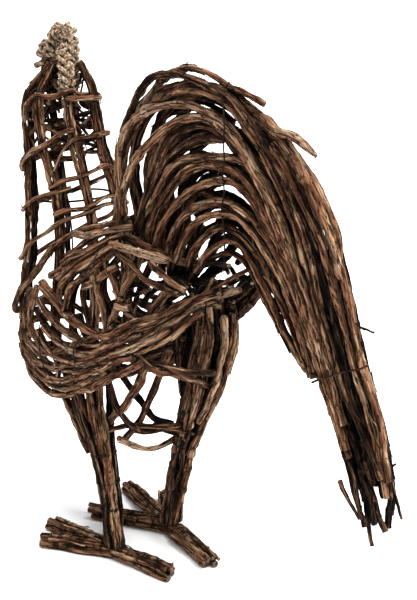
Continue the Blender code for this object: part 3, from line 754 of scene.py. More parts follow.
def makeTail():
    look = tail
    inner, outer = [], []
    for row in range(look["rows"]):
        for lane in range(look["farLanes"]):
            jitter = chance.uniform(-look["jitter"], look["jitter"])
            guides = [tailGuide(k, row, lane, jitter) for k in range(len(look["stations"]))]
            tone = look["farShadeTone"] + (look["nearTone"] - look["farShadeTone"]) * (lane / (look["farLanes"] - 1))
            radius = look["radius"] * chance.uniform(*look["thickness"]) * look["farThickness"]
            start = chance.uniform(0.0, look["rootRagged"])
            end = 1.0 - chance.uniform(*look["tipRagged"])
            tone = tone + chance.uniform(-look["toneSpread"], look["toneSpread"])
            rod = vine(guides, radius, start, end, tip=look["tip"], tone=tone, wild=look["wild"])
            (inner if row < look["innerRows"] else outer).append(rod)
    return inner, outer


nearArcs = {                    # radius, how far to the left at its start and end, then where it shows
    "rim": (0.0048, 0.040, 0.016, ((118, 190), (119, 165), (122, 140), (130, 115), (140, 93), (150, 79),
        (162, 74), (175, 74), (190, 78), (205, 84), (220, 92), (232, 101), (243, 113), (255, 131), (268, 151),
        (282, 176), (295, 206), (305, 236), (314, 268), (324, 310), (335, 352), (345, 388), (356, 417),
        (368, 447), (382, 480))),
    "second": (0.0050, 0.036, 0.018, ((117, 220), (121, 185), (127, 145), (136, 123), (148, 108), (162, 98),
        (178, 92), (196, 90), (212, 94), (226, 101), (240, 117), (252, 135), (264, 154), (277, 180),
        (289, 210), (299, 240), (309, 275), (321, 320), (333, 366), (342, 401))),
    "pale": (0.0053, 0.042, 0.020, ((124, 215), (120, 180), (119, 155), (124, 134), (135, 118), (150, 109),
        (165, 105), (180, 104), (196, 107), (210, 113), (224, 124), (238, 140), (250, 158), (262, 180),
        (274, 206), (286, 238), (298, 275), (311, 318), (324, 362), (334, 398), (340, 420))),
    "third": (0.0052, 0.042, 0.022, ((120, 235), (121, 214), (124, 192), (131, 170), (141, 153), (152, 141),
        (165, 129), (180, 120), (196, 117), (212, 120), (226, 130), (240, 147), (252, 168), (264, 194),
        (276, 222), (288, 254), (300, 290), (313, 334), (326, 378), (338, 418), (346, 450))),
    "fourth": (0.0052, 0.034, 0.020, ((134, 240), (143, 210), (150, 187), (160, 162), (172, 142), (186, 129),
        (200, 125), (214, 128), (228, 138), (241, 156), (253, 180), (265, 206), (278, 238), (291, 272),
        (303, 312), (316, 354), (328, 395), (340, 432), (349, 458))),
    "fifth": (0.0052, 0.038, 0.028, ((140, 232), (147, 208), (156, 184), (167, 162), (180, 148), (194, 140),
        (209, 137), (223, 138))),
    "sixth": (0.0045, 0.028, 0.018, ((150, 215), (159, 188), (169, 167), (182, 151), (198, 143), (212, 141),
        (223, 140))),
    "upper": (0.0050, 0.036, 0.022, ((137, 238), (145, 218), (155, 196), (168, 172), (182, 160), (204, 158),
        (222, 158), (240, 159), (252, 166), (262, 180), (273, 203), (285, 232), (297, 266), (309, 303),
        (322, 346), (334, 388), (345, 425))),
    "flat": (0.0053, 0.040, 0.022, ((148, 240), (154, 220), (164, 200), (176, 182), (190, 170), (206, 165),
        (222, 166), (237, 172), (249, 184), (259, 200), (270, 223), (282, 250), (294, 282), (306, 320),
        (319, 362), (330, 400), (338, 432))),
    "crossing": (0.0045, 0.044, 0.024, ((156, 245), (163, 224), (174, 206), (187, 193), (203, 185),
        (220, 181), (236, 184), (248, 195), (258, 209), (268, 225), (279, 246), (290, 272), (302, 306),
        (314, 346), (324, 384), (332, 415))),
    "lower": (0.0046, 0.040, 0.024, ((166, 258), (172, 236), (182, 218), (195, 208), (210, 203), (226, 203),
        (240, 209), (253, 219), (265, 233), (276, 252), (288, 276), (299, 306), (310, 342), (320, 376),
        (329, 405))),
    "lowerTwo": (0.0045, 0.044, 0.026, ((176, 262), (184, 240), (194, 225), (208, 216), (222, 213),
        (236, 217), (249, 228), (261, 243), (272, 262), (284, 286), (295, 316), (306, 350), (315, 378))),
    "lowerThree": (0.0040, 0.040, 0.026, ((188, 266), (196, 248), (206, 236), (218, 228), (231, 228),
        (243, 237), (254, 250), (265, 268), (276, 290), (288, 318), (300, 350), (311, 378))),
    "lowerFour": (0.0040, 0.044, 0.026, ((196, 272), (206, 256), (218, 245), (231, 241), (243, 248),
        (253, 262), (263, 282), (273, 303), (285, 330), (297, 354), (307, 372))),
    "lowest": (0.0036, 0.040, 0.024, ((186, 282), (200, 268), (216, 257), (232, 253), (244, 260), (253, 274),
        (262, 293), (271, 312), (281, 333), (292, 352))),
    "outerTan": (0.0052, 0.020, 0.008, ((236, 104), (250, 111), (263, 119), (275, 130), (286, 144),
        (296, 161), (306, 180), (315, 199), (323, 219), (331, 241), (340, 268), (349, 301), (356, 335),
        (362, 366), (371, 392), (379, 420), (383, 452), (388, 482))),
    "outerTwo": (0.0050, 0.026, 0.012, ((246, 122), (260, 138), (273, 158), (285, 180), (297, 204),
        (308, 230), (317, 256), (326, 286), (334, 318), (343, 352), (352, 388), (362, 425), (371, 458),
        (377, 486))),
    "outerThree": (0.0043, 0.022, 0.010, ((270, 145), (284, 166), (297, 190), (309, 215), (320, 242),
        (329, 270), (338, 300), (346, 332), (354, 366), (364, 400), (374, 434), (381, 468), (386, 498))),
}

farArcs = {                     # dark rods behind them, their darkness painted shade
    "one": (0.0046, -0.006, -0.016, ((147, 245), (140, 212), (137, 180), (137, 150), (142, 128), (152, 112),
        (166, 102), (182, 98), (200, 101), (218, 110), (234, 124))),
    "two": (0.0042, -0.012, -0.020, ((156, 225), (152, 196), (150, 170), (151, 146), (156, 128), (167, 115),
        (182, 109), (198, 111), (214, 119))),
    "back": (0.0046, -0.030, -0.022, ((118, 160), (126, 130), (136, 110), (148, 97), (160, 84), (172, 73),
        (184, 68), (196, 68))),
    "hollow": (0.0044, 0.000, 0.004, ((182, 250), (184, 222), (190, 200), (198, 186), (208, 177),
        (220, 174))),
    "twig": (0.0036, 0.002, 0.006, ((196, 216), (204, 198), (214, 186), (226, 180))),
}

arcLook = {
    "tip": 0.86,
    "wild": 0.35,
    "nearTone": 0.62,
    # the far arcs take a darker tone as painted shade
    "farShadeTone": -0.1,
    "toneSpan": (-0.3, 0.2),
    "tones": {"rim": 0.15, "second": 0.60, "pale": 0.95, "third": 0.72, "flat": 0.45, "lower": 0.80,
              "outerTan": 0.85, "outerTwo": 0.12, "outerThree": 0.62},
}


def makeArcs():
    look = arcLook
    rods = []
    for arcs, usual in ((nearArcs, look["nearTone"]), (farArcs, look["farShadeTone"])):
        for name, (radius, start, end, shown) in arcs.items():
            tone = look["tones"].get(name, usual + chance.uniform(*look["toneSpan"]))
            guides = [seen(start + (end - start) * k / (len(shown) - 1), *place)
                      for k, place in enumerate(shown)]
            rods.append(vine(guides, radius, tip=look["tip"], tone=tone, wild=look["wild"]))
    return rods


tailStubs = {                   # broken rods on the top of the tail
    "top": (0.0040, ((-0.020, -0.052, 0.552), (-0.010, 0.004, 0.613), (0.002, 0.060, 0.648),
        (0.010, 0.103, 0.663), (0.016, 0.133, 0.664), (0.018, 0.160, 0.659), (0.020, 0.191, 0.647),
        (0.020, 0.214, 0.634))),
    "topEnd": (0.0036, ((0.022, 0.188, 0.650), (0.022, 0.204, 0.647), (0.020, 0.222, 0.641),
        (0.020, 0.240, 0.637))),
    "fork": (0.0054, ((0.014, 0.205, 0.634, 1.0), (0.016, 0.233, 0.622, 1.0), (0.018, 0.255, 0.613, 1.0),
        (0.020, 0.280, 0.608, 1.1), (0.022, 0.304, 0.601, 0.9), (0.022, 0.320, 0.593, 0.5)), 1.1),
    "forkUnder": (0.0052, ((0.014, 0.235, 0.610), (0.012, 0.264, 0.596), (0.010, 0.288, 0.580),
        (0.008, 0.312, 0.553), (0.006, 0.334, 0.512), (0.004, 0.350, 0.466))),
    "thorn": (0.0013, ((0.020, 0.382, 0.420), (0.020, 0.390, 0.418), (0.020, 0.398, 0.418),
        (0.020, 0.407, 0.417)), -0.2),
}

tailTips = {                    # thin rods that reach out below the ends of the others
    "left": (0.0040, ((0.020, 0.365, 0.291), (0.020, 0.381, 0.248), (0.018, 0.393, 0.215),
        (0.016, 0.401, 0.184))),
    "long": (0.0038, ((0.010, 0.373, 0.291), (0.008, 0.388, 0.253), (0.004, 0.393, 0.210),
        (0.000, 0.401, 0.155))),
    "slant": (0.0042, ((0.006, 0.382, 0.280), (0.002, 0.396, 0.222), (0.000, 0.407, 0.197),
        (-0.002, 0.417, 0.176))),
    "right": (0.0042, ((-0.010, 0.403, 0.282), (-0.012, 0.412, 0.237), (-0.012, 0.417, 0.213),
        (-0.012, 0.414, 0.178))),
    "loose": (0.0022, ((0.024, 0.371, 0.234), (0.024, 0.378, 0.223), (0.022, 0.389, 0.208),
        (0.020, 0.398, 0.194))),
    "looseFar": (0.0019, ((-0.014, 0.407, 0.246), (-0.014, 0.417, 0.223), (-0.016, 0.424, 0.205),
        (-0.016, 0.429, 0.194))),
    "inside": (0.0040, ((0.012, 0.372, 0.300), (0.008, 0.394, 0.236), (0.006, 0.404, 0.200),
        (0.004, 0.408, 0.186))),
    "far": (0.0042, ((-0.018, 0.392, 0.290), (-0.020, 0.404, 0.240), (-0.020, 0.412, 0.205),
        (-0.019, 0.414, 0.192))),
}

binder = {
    "radius": 0.0054,
    "proud": 0.004,
    "station": 1,
    "route": (                  # shares of the width, from the outer to the inner edge, and of the rise
        (0.98, 0.02, 0.35), (1.0, 0.40, 0.35), (0.80, 0.90, 0.60), (0.0, 1.09, 0.91),
        (-0.80, 0.92, 0.50), (-1.0, 0.40, 0.30), (-0.98, 0.02, 0.26)),
    "tie": ((309, 373), (316, 377), (326, 378), (338, 374), (350, 371), (360, 369), (368, 365)),
    "tieAcross": 0.032,
    "tieRadius": 0.0013,
    "tieWild": 0.3,
    "tieShag": 0.2,
    "tieTone": 0.5,
}


def makeBinder():
    look = binder
    inner, outer, spread, _, thickness = tail["stations"][look["station"]]
    wide = spread + tail["radius"] * thickness + look["proud"]
    guides = [(wide * across, outer[0] + (inner[0] - outer[0]) * back, outer[1] + (inner[1] - outer[1]) * up)
              for across, back, up in look["route"]]
    return vine(guides, look["radius"])


def makeTieTwig():
    look = binder
    guides = [seen(look["tieAcross"], *place) for place in look["tie"]]
    return vine(guides, look["tieRadius"], wild=look["tieWild"], shag=look["tieShag"], tone=look["tieTone"])


# Body: rods nested round each side, between an inner and an outer edge (back, up)

body = {
    "front": -0.226,
    "rear": 0.238,
    "middleHeight": 0.325,
    "halfWidth": 0.0860,
    "halfHeight": 0.190,
    "frontRoundness": 2.4,
    "rearRoundness": 2.6,
    "leastWidth": 0.02,
    "leastHeight": 0.1,
}

farRings = {
    "count": 11,
    "radius": 0.0052,
    "thickness": (0.78, 1.16),
    "tip": 0.8,
    # the far side's rings take a darker tone than the near side's: painted shade
    "tone": 0.25,
    "proud": (-0.004, 0.003),
    "tilt": (0.09, 0.9),        # share of the way to the next rod, and step along the rod
    "edgeTilt": 0.3,
    "weave": (0.0035, 1.7),
    "phases": (3.0, 6.0),
    "rootInset": 0.016,
    "starts": (0.0, 0.08),
    "lateStarts": (0.28, 0.40),
    "late": (1, 3),             # in every five rods
    "ends": (0.80, 0.95),
    "guides": (
        ((0.050, 0.424), (0.020, 0.478)),
        ((-0.010, 0.416), (-0.066, 0.442)),
        ((-0.068, 0.386), (-0.164, 0.378)),
        ((-0.112, 0.350), (-0.215, 0.300)),
        ((-0.088, 0.322), (-0.212, 0.222)),
        ((-0.010, 0.322), (-0.150, 0.192)),
        ((0.064, 0.346), (0.000, 0.260)),
        ((0.142, 0.396), (0.118, 0.350)),
        ((0.236, 0.453), (0.198, 0.408)),
    ),
}


def bodyHalfWidth(back, up):
    middle = (body["front"] + body["rear"]) / 2
    reach = (back - middle) / ((body["rear"] - body["front"]) / 2)
    roundness = body["frontRoundness"] if reach < 0 else body["rearRoundness"]
    across = max(body["leastWidth"], 1 - abs(reach) ** roundness) ** (1 / roundness)
    height = (up - body["middleHeight"]) / body["halfHeight"]
    return body["halfWidth"] * across * math.sqrt(max(body["leastHeight"], 1 - height * height))


def makeFarRings():
    look = farRings
    rods = []
    for k in range(look["count"]):
        share = k / (look["count"] - 1)
        tilt = chance.uniform(-look["tilt"][0], look["tilt"][0])
        phase, weave = (chance.uniform(0.0, most) for most in look["phases"])
        proud = chance.uniform(*look["proud"])
        calm = look["edgeTilt"] if k in (0, look["count"] - 1) else 1.0
        guides = []
        for i, (inner, outer) in enumerate(look["guides"]):
            here = share + tilt * math.cos(i * look["tilt"][1] + phase) * calm
            back, up = (a + (b - a) * here for a, b in zip(inner, outer))
            out = bodyHalfWidth(back, up) + proud + look["weave"][0] * math.cos(i * look["weave"][1] + weave)
            inset = look["rootInset"] if i == len(look["guides"]) - 1 else 0.0
            guides.append((inset - out, back, up))
        start = chance.uniform(*look["lateStarts" if k % 5 in look["late"] else "starts"])
        radius = look["radius"] * chance.uniform(*look["thickness"])
        rods.append(vine(guides, radius, start, chance.uniform(*look["ends"]), look["tip"], look["tone"]))
    return rods


nearRings = {                   # radius, how proud, then where it shows
    "one": (0.0050, 0.004, ((42, 282), (50, 294), (60, 308), (72, 320), (86, 329), (100, 336), (114, 334),
        (128, 326), (143, 321), (158, 317), (174, 309), (188, 303), (204, 298), (222, 293))),
    "two": (0.0046, 0.001, ((39, 300), (47, 313), (58, 326), (72, 337), (88, 344), (104, 343), (118, 338),
        (132, 332), (147, 326), (162, 320), (176, 312), (190, 305), (206, 302))),
    "three": (0.0054, 0.003, ((44, 326), (54, 338), (66, 347), (80, 353), (95, 353), (108, 347), (121, 341),
        (133, 336), (143, 333))),
    "four": (0.0046, -0.002, ((36, 308), (46, 328), (60, 343), (76, 352), (94, 350), (112, 344), (130, 336),
        (148, 329), (166, 322), (182, 312), (198, 303), (214, 298))),
    "five": (0.0048, 0.004, ((37, 286), (33, 301), (30, 315), (30, 328), (37, 341), (48, 351), (62, 359),
        (78, 364), (94, 362), (109, 356), (124, 351), (140, 345), (156, 338), (170, 329))),
    "six": (0.0046, 0.000, ((24, 318), (26, 333), (33, 347), (44, 359), (58, 368), (74, 371), (90, 368),
        (106, 361), (122, 356), (140, 351), (158, 343), (174, 334), (188, 322), (202, 312))),
    "seven": (0.0048, 0.003, ((22, 330), (25, 345), (32, 359), (43, 371), (56, 378), (72, 378), (88, 373),
        (104, 367), (119, 361), (134, 357))),
    "eight": (0.0046, -0.001, ((21, 342), (26, 357), (34, 370), (45, 380), (58, 385), (74, 383), (90, 378),
        (104, 371), (116, 365))),
    "nine": (0.0044, 0.003, ((24, 352), (32, 366), (43, 378), (56, 387), (68, 389), (82, 385), (96, 379),
        (108, 372))),
    "edge": (0.0044, 0.001, ((30, 290), (25, 304), (23, 318), (23, 334), (28, 350), (36, 362), (47, 372))),
    "slanting": (0.0042, 0.004, ((38, 330), (46, 344), (54, 355), (58, 368), (57, 380))),
    "right": (0.0048, 0.001, ((118, 350), (134, 344), (150, 336), (166, 326), (180, 317), (194, 306),
        (206, 294), (214, 280))),
    "upperOne": (0.0042, 0.006, ((62, 264), (75, 256), (88, 250), (101, 243), (114, 237), (124, 232))),
    "upperTwo": (0.0042, 0.002, ((58, 278), (70, 267), (83, 258), (97, 249), (110, 241), (122, 236))),
    "upperThree": (0.0044, 0.005, ((61, 286), (72, 274), (85, 264), (98, 255), (111, 247), (120, 241))),
    "upperFour": (0.0040, 0.001, ((66, 292), (77, 281), (89, 272), (102, 262), (113, 254), (122, 248))),
    "upperFive": (0.0040, -0.002, ((50, 276), (62, 270), (76, 262), (90, 254), (104, 248), (118, 244))),
    "tan": (0.0044, 0.001, ((83, 287), (92, 284), (101, 277), (110, 271), (118, 266))),
    "hook": (0.0042, 0.008, ((62, 314), (66, 303), (69, 293), (73, 284), (80, 278))),
    "nub": (0.0052, 0.006, ((41, 287), (50, 296), (58, 305), (65, 313), (72, 318))),
    "spike": (0.0034, 0.004, ((93, 275), (96, 286), (99, 298), (103, 311), (104, 325), (100, 338))),
    "veeLeft": (0.0042, 0.000, ((104, 256), (108, 268), (113, 281), (118, 294), (121, 304))),
    "veeRight": (0.0046, -0.002, ((142, 252), (137, 264), (131, 278), (125, 291), (120, 303))),
    "veeFar": (0.0040, -0.006, ((128, 262), (126, 275), (122, 290), (119, 305))),
    "footLeft": (0.0046, 0.000, ((122, 298), (116, 310), (110, 322), (106, 336))),
    "footRight": (0.0042, -0.003, ((119, 298), (126, 309), (134, 318), (143, 326))),
    "star": (0.0052, 0.002, ((117, 304), (124, 308), (130, 309))),
    "farPost": (0.0060, -0.012, ((168, 292), (160, 302), (152, 312), (143, 323))),
}

ringLook = {
    "across": 0.075,            # the first guess, which is then brought onto the body's side
    "rounds": 14,
    "leastAcross": 0.045,
    "tip": 0.86,
    "tone": 0.75,
    "wild": 0.5,
}


def makeNearRings():
    look = ringLook
    rods = []
    for radius, proud, shown in nearRings.values():
        guides = []
        for place in shown:
            across = look["across"]
            for _ in range(look["rounds"]):
                here = seen(across, *place)
                across = (across + max(look["leastAcross"], bodyHalfWidth(*here[1:]) + proud)) / 2
            guides.append(seen(across, *place))
        rods.append(vine(guides, radius, tip=look["tip"], tone=look["tone"], wild=look["wild"]))
    return rods


breast = {                      # rods that come round the front: height there, thickness
    "rods": ((0.270, 1.0), (0.228, 1.0), (0.292, 0.85), (0.249, 0.8)),
    "route": (                  # across as a share of the body's width there, back, rise, proud
        (0.0, -0.226, 0.000, 1.0),
        (1.0, -0.215, -0.004, 0.8),
        (1.0, -0.176, -0.022, 0.5),
        (1.0, -0.110, -0.022, 0.5),
        (1.0, -0.020, 0.014, 0.3),
        (1.0, 0.060, 0.062, 0.0),
        (0.9, 0.120, 0.098, -0.6),
    ),
    "proud": 0.0060,
    "radius": 0.0054,
    "starts": (0.0, 0.08),
    "ends": (0.90, 1.0),
    "tip": 0.9,
    "tone": 0.7,
}


def makeBreast():
    look = breast
    rods = []
    for height, size in look["rods"]:
        guides = []
        for side, route in ((-1, look["route"][:0:-1]), (1, look["route"])):
            for across, back, rise, proud in route:
                out = bodyHalfWidth(back, height + rise) + look["proud"] * proud
                guides.append((side * across * out, back - look["proud"] * (across == 0), height + rise))
        start, end = chance.uniform(*look["starts"]), chance.uniform(*look["ends"])
        rods.append(vine(guides, look["radius"] * size, start, end, look["tip"], look["tone"]))
    return rods


# Neck: a cage of paired rods with wound hoops

neck = {
    "levels": (                 # height, middle, half length fore and aft, half width
        (0.262, -0.144, 0.073, 0.072),
        (0.330, -0.138, 0.075, 0.077),
        (0.400, -0.131, 0.067, 0.069),
        (0.470, -0.137, 0.062, 0.061),
        (0.530, -0.151, 0.053, 0.052),
        (0.585, -0.159, 0.048, 0.047),
        (0.608, -0.157, 0.045, 0.044),
        (0.632, -0.150, 0.030, 0.029),
        (0.650, -0.147, 0.017, 0.017),
    ),
    "proudSpread": 0.001,
    "twigWild": 1.3,
    "hoopProud": 0.0072,
    "hoopEnd": (0.8, 0.7),      # thickness at the tip, and tone
    "collarEnd": (0.85, 0.6),
    "hoops": (                  # radius, then heading and height along each twig
        (0.0034, ((80, 0.572), (88, 0.594), (100, 0.604), (130, 0.606), (146, 0.614), (160, 0.615),
            (176, 0.606))),
        (0.0034, ((150, 0.604), (172, 0.606), (210, 0.600), (260, 0.596), (310, 0.596), (350, 0.600),
            (392, 0.604))),
        (0.0039, ((46, 0.500), (58, 0.510), (74, 0.523), (100, 0.536), (122, 0.549), (144, 0.560),
            (156, 0.564))),
        (0.0022, ((124, 0.512), (140, 0.536), (156, 0.553), (174, 0.556), (218, 0.555))),
        (0.0034, ((196, 0.553), (240, 0.548), (290, 0.534), (330, 0.522), (366, 0.510), (408, 0.502))),
        (0.0030, ((116, 0.490), (134, 0.502), (156, 0.506), (194, 0.512), (230, 0.502), (270, 0.486),
            (310, 0.466), (350, 0.452), (384, 0.446), (410, 0.450), (444, 0.468), (470, 0.480),
            (504, 0.494))),
        (0.0035, ((120, 0.455), (136, 0.464), (154, 0.468), (172, 0.474), (206, 0.474))),
        (0.0035, ((190, 0.470), (240, 0.454), (290, 0.424), (330, 0.396), (370, 0.376), (404, 0.378),
            (444, 0.410), (468, 0.432), (488, 0.450), (514, 0.460), (550, 0.466))),
    ),
    "collar": (                 # over the body's rods: radius, how proud, then heading and height
        (0.0048, 0.0100, ((-150, 0.436), (-100, 0.404), (-50, 0.330), (-5, 0.300), (30, 0.300), (56, 0.312),
            (78, 0.344), (94, 0.374), (108, 0.400), (126, 0.422), (152, 0.438), (196, 0.446))),
        (0.0036, 0.0085, ((130, 0.404), (150, 0.422), (180, 0.436), (215, 0.440))),
    ),
}

staves = {
    "count": 8,
    "radius": 0.0033,
    "thickness": (0.88, 1.12),
    "tip": 0.95,
    "wild": 0.6,
    "proud": 0.0022,
    "heights": (0.318, 0.350, 0.400, 0.470, 0.530, 0.580, 0.604, 0.620, 0.634, 0.646),
    "footHeights": (0.266, 0.300),
    "slants": {2: (10.0, -10.0), 3: (3.0, -5.0), 6: (15.0, 10.0)},    # degrees off at foot and top
    "slantHeights": (0.470, 0.600),
    "crown": ((0.600, 0.635), (1.0, 0.80)),   # heights, and thickness there
    "apart": 0.98,
    "splay": ((0.30, 0.45), (1.25, 1.0)),     # heights, and how much wider apart there
    "lean": 0.0009,
    "leanWaves": 60.0,
    "nearHeadings": (60.0, 230.0),
    "nearTones": (0.35, 0.75),
    # the far staves take a darker tone as painted shade inside the cage
    "farShadeTone": 0.15,
}


def neckPoint(heading, up, proud=0.0):
    turn = math.radians(heading)
    heights, *columns = zip(*neck["levels"])
    middle, halfLength, halfWidth = (np.interp(up, heights, column) for column in columns)
    across, back = (halfWidth + proud) * math.sin(turn), middle - (halfLength + proud) * math.cos(turn)
    return np.array((across, back, up))


def makeStaves():
    look = staves
    rods = []
    for k in range(look["count"]):
        heading = 360.0 * (k + 0.5) / look["count"]
        turn = math.radians(heading)
        aside = np.array((math.cos(turn), math.sin(turn), 0.0))
        isNear = look["nearHeadings"][0] < heading < look["nearHeadings"][1]
        tone = chance.uniform(*look["nearTones"]) if isNear else look["farShadeTone"]
        for side in (-1, 1):
            foot = chance.uniform(*look["footHeights"])
            lean = chance.uniform(-look["lean"], look["lean"])
            guides = []
            for up in (foot, *look["heights"]):
                slant = np.interp(up, look["slantHeights"], look["slants"].get(k, (0.0, 0.0)))
                thin = np.interp(up, *look["crown"])
                apart = look["radius"] * thin * look["apart"] * side * np.interp(up, *look["splay"])
                near = neckPoint(heading + slant, up, look["proud"]) \
                    + aside * (apart + lean * math.sin(up * look["leanWaves"]))
                guides.append((*near, thin))
            radius = look["radius"] * chance.uniform(*look["thickness"])
            rods.append(vine(guides, radius, tip=look["tip"], tone=tone, wild=look["wild"]))
    return rods


def neckTwig(radius, proud, rows, tip, tone):
    spread = neck["proudSpread"]
    guides = [neckPoint(heading, up, proud + chance.uniform(-spread, spread)) for heading, up in rows]
    return vine(guides, radius, tip=tip, wild=neck["twigWild"], tone=tone)


def makeHoops():
    hoops = [neckTwig(radius, neck["hoopProud"], rows, *neck["hoopEnd"]) for radius, rows in neck["hoops"]]
    return hoops + [neckTwig(*twig, *neck["collarEnd"]) for twig in neck["collar"]]


tangle = {                      # thin twigs pushed into the top of the cage
    "count": 74,
    "headings": (-150.0, 190.0),
    "heights": (0.525, 0.630),
    "climb": 0.045,
    "radii": (0.0014, 0.0034),
    "inside": -0.0045,
    "bend": 0.008,
    "tone": 0.35,
    "wild": 1.3,
}


def makeTangle():
    look = tangle
    rods = []
    low, high = look["heights"]
    for _ in range(look["count"]):
        heading, other = chance.uniform(*look["headings"]), chance.uniform(*look["headings"])
        up = chance.uniform(low, high)
        over = min(high, max(low, up + chance.uniform(-look["climb"], look["climb"])))
        start, end = neckPoint(heading, up, look["inside"]), neckPoint(other, over, look["inside"])
        bend = np.array([chance.uniform(-look["bend"], look["bend"]) for _ in range(3)])
        guides = [start, (start + end) / 2 + bend, end]
        rods.append(vine(guides, chance.uniform(*look["radii"]), tone=look["tone"], wild=look["wild"]))
    return rods


# Legs and feet

legs = {
    "left": (                   # across as a share of the body's half width, back, up, half width
        (0.67, 0.007, 0.016, 0.0145),
        (0.69, 0.000, 0.095, 0.0150),
        (0.70, -0.014, 0.165, 0.0190),
        (0.60, -0.042, 0.215, 0.0280),
        (0.52, -0.050, 0.275, 0.0260),
    ),
    "right": (
        (-0.48, 0.007, 0.016, 0.0145),
        (-0.53, 0.019, 0.085, 0.0150),
        (-0.61, 0.034, 0.160, 0.0190),
        (-0.67, 0.058, 0.225, 0.0260),
        (-0.68, 0.080, 0.300, 0.0290),
        (-0.62, 0.090, 0.362, 0.0260),
    ),
    "twigs": 8,
    "thighTwigs": {"left": 4, "right": 11},
    "turnSpread": 0.03,
    "twist": 0.6,
    "goldenTurn": 1.618,
    "twigRadius": 0.0050,
    "twigInset": 0.85,
    "thickness": (0.80, 1.12),
    "shankHalf": 0.0145,        # where the twigs have their usual share of the radius
    "usualShare": 0.9,
    "shareGain": 8.0,
    "lowest": 0.012,
    "lateStarts": (0.30, 0.48),
    "ends": (0.9, 1.0),
    "core": 0.0078,
    "coreEnd": 0.97,
    "tieHeights": (0.060, 0.100, 0.142),
    "tieSpans": {"left": 0.29, "right": 0.40},
    "tieSpacing": 0.004,
    "tieHalf": 0.97,
    "tieTurns": 1.6,
    "tieLength": 0.012,
}


def legRows(side):
    return np.array([(across * body["halfWidth"], back, up, half) for across, back, up, half in legs[side]])


def makeLeg(side):
    look = legs
    rods = []
    stations = legRows(side)
    for k in range(look["twigs"] + look["thighTwigs"][side]):
        short = k >= look["twigs"]
        step = look["goldenTurn"] if short else 1.0 / look["twigs"]
        turn = fullTurn * (k * step + chance.uniform(-look["turnSpread"], look["turnSpread"]))
        twist = chance.uniform(-look["twist"], look["twist"])
        guides = []
        for i, (x, y, z, half) in enumerate(stations):
            here = turn + twist * i / len(stations)
            reach = half - look["twigRadius"] * look["twigInset"]
            guides.append((x + reach * math.cos(here), y + reach * math.sin(here), max(z, look["lowest"]),
                           look["usualShare"] + look["shareGain"] * (half - look["shankHalf"])))
        radius = look["twigRadius"] * chance.uniform(*look["thickness"])
        start = chance.uniform(*look["lateStarts"]) if short else 0.0
        rods.append(vine(guides, radius, start, chance.uniform(*look["ends"])))
    rods.append(vine(stations[:, :3], look["core"], 0.0, look["coreEnd"], tone=0.0))
    return rods


def makeLegTies(side):                        # thin wires round the shank
    look = legs
    route = smoothRoute(legRows(side), look["tieSpacing"])
    shares = [height / look["tieSpans"][side] for height in look["tieHeights"]]
    return [wound(route[:, :3], route[:, 3] * look["tieHalf"], look["tieTurns"], share,
                  share + look["tieLength"]) for share in shares]


feet = {
    "left": {                   # heading and length of each toe
        "middle": (8.0, 0.126),
        "back": (188.0, 0.100),
        "outer": (30.0, 0.116),
        "inner": (-37.0, 0.090),
    },
    "right": {
        "middle": (-15.0, 0.150),
        "back": (167.0, 0.118),
        "outer": (-38.0, 0.104),
        "inner": (25.0, 0.128),
    },
    "twigs": (                  # aside, up, radius
        (-0.0052, 0.0058, 0.0056),
        (0.0054, 0.0058, 0.0055),
        (-0.0034, 0.0134, 0.0050),
        (0.0044, 0.0130, 0.0052),
    ),
    "lengths": (0.92, 1.0),
    "thickness": (0.86, 1.06),
    "shares": (-0.04, 0.25, 0.55, 0.8, 1.0),  # of the toe's length, for the guides
    "swell": (1.12, 0.2),
    "droop": (0.9, 0.95),
    "tip": 0.88,
    "wild": 0.7,
    "shag": 0.8,
    "tone": 0.7,
}

sprigs = {                      # thin twigs laid over each toe
    "count": 4,
    "radii": (0.0018, 0.0032),
    "turns": (-0.3, math.pi + 0.3),
    "starts": (0.0, 0.4),
    "ends": (0.75, 1.04),
    "guides": 4,
    "turnSpread": 0.2,
    "halfWidth": 0.0108,
    "middle": 0.0095,
    "halfHeight": 0.0088,
    "wild": 0.8,
    "tone": 0.8,
}

toeWinding = {
    "middle": 0.0098,
    "half": 0.0104,
    "guides": 40,
    "end": 0.97,
    "turns": (5.0, -4.0),
    "span": (0.16, 0.84),
    "uneven": 0.9,
}


def planDirection(heading):
    turn = math.radians(heading)
    return np.array((math.sin(turn), -math.cos(turn), 0.0))


def makeFoot(side):
    look = feet
    rods, windings = [], []
    ankle = legRows(side)[0, :3] * (1.0, 1.0, 0.0)
    for heading, length in look[side].values():
        along, sideways = planDirection(heading), planDirection(heading + 90.0)
        for shift, up, radius in look["twigs"]:
            size = length * chance.uniform(*look["lengths"])
            guides = []
            for share in look["shares"]:
                swell = look["swell"][0] - look["swell"][1] * abs(share - 0.5)
                place = ankle + along * size * share + sideways * shift * swell
                guides.append((*place[:2], up * (1.0 if share < look["droop"][0] else look["droop"][1])))
            rods.append(vine(guides, radius * chance.uniform(*look["thickness"]), tip=look["tip"],
                             wild=look["wild"], shag=look["shag"], tone=look["tone"]))
        for _ in range(sprigs["count"]):
            radius = chance.uniform(*sprigs["radii"])
            turn = chance.uniform(*sprigs["turns"])
            start, end = chance.uniform(*sprigs["starts"]), chance.uniform(*sprigs["ends"])
            guides = []
            for share in np.linspace(start, end, sprigs["guides"]):
                here = turn + chance.uniform(-sprigs["turnSpread"], sprigs["turnSpread"])
                place = ankle + along * length * share + sideways * sprigs["halfWidth"] * math.cos(here)
                guides.append((*place[:2], sprigs["middle"] + sprigs["halfHeight"] * math.sin(here)))
            rods.append(vine(guides, radius, wild=sprigs["wild"], tone=sprigs["tone"]))
        middle = np.array([ankle + along * length * share + (0.0, 0.0, toeWinding["middle"])
                           for share in np.linspace(0, toeWinding["end"], toeWinding["guides"])])
        half = np.full(len(middle), toeWinding["half"])
        for turns in toeWinding["turns"]:
            windings.append(wound(middle, half, turns, *toeWinding["span"], toeWinding["uneven"]))
    return rods, windings


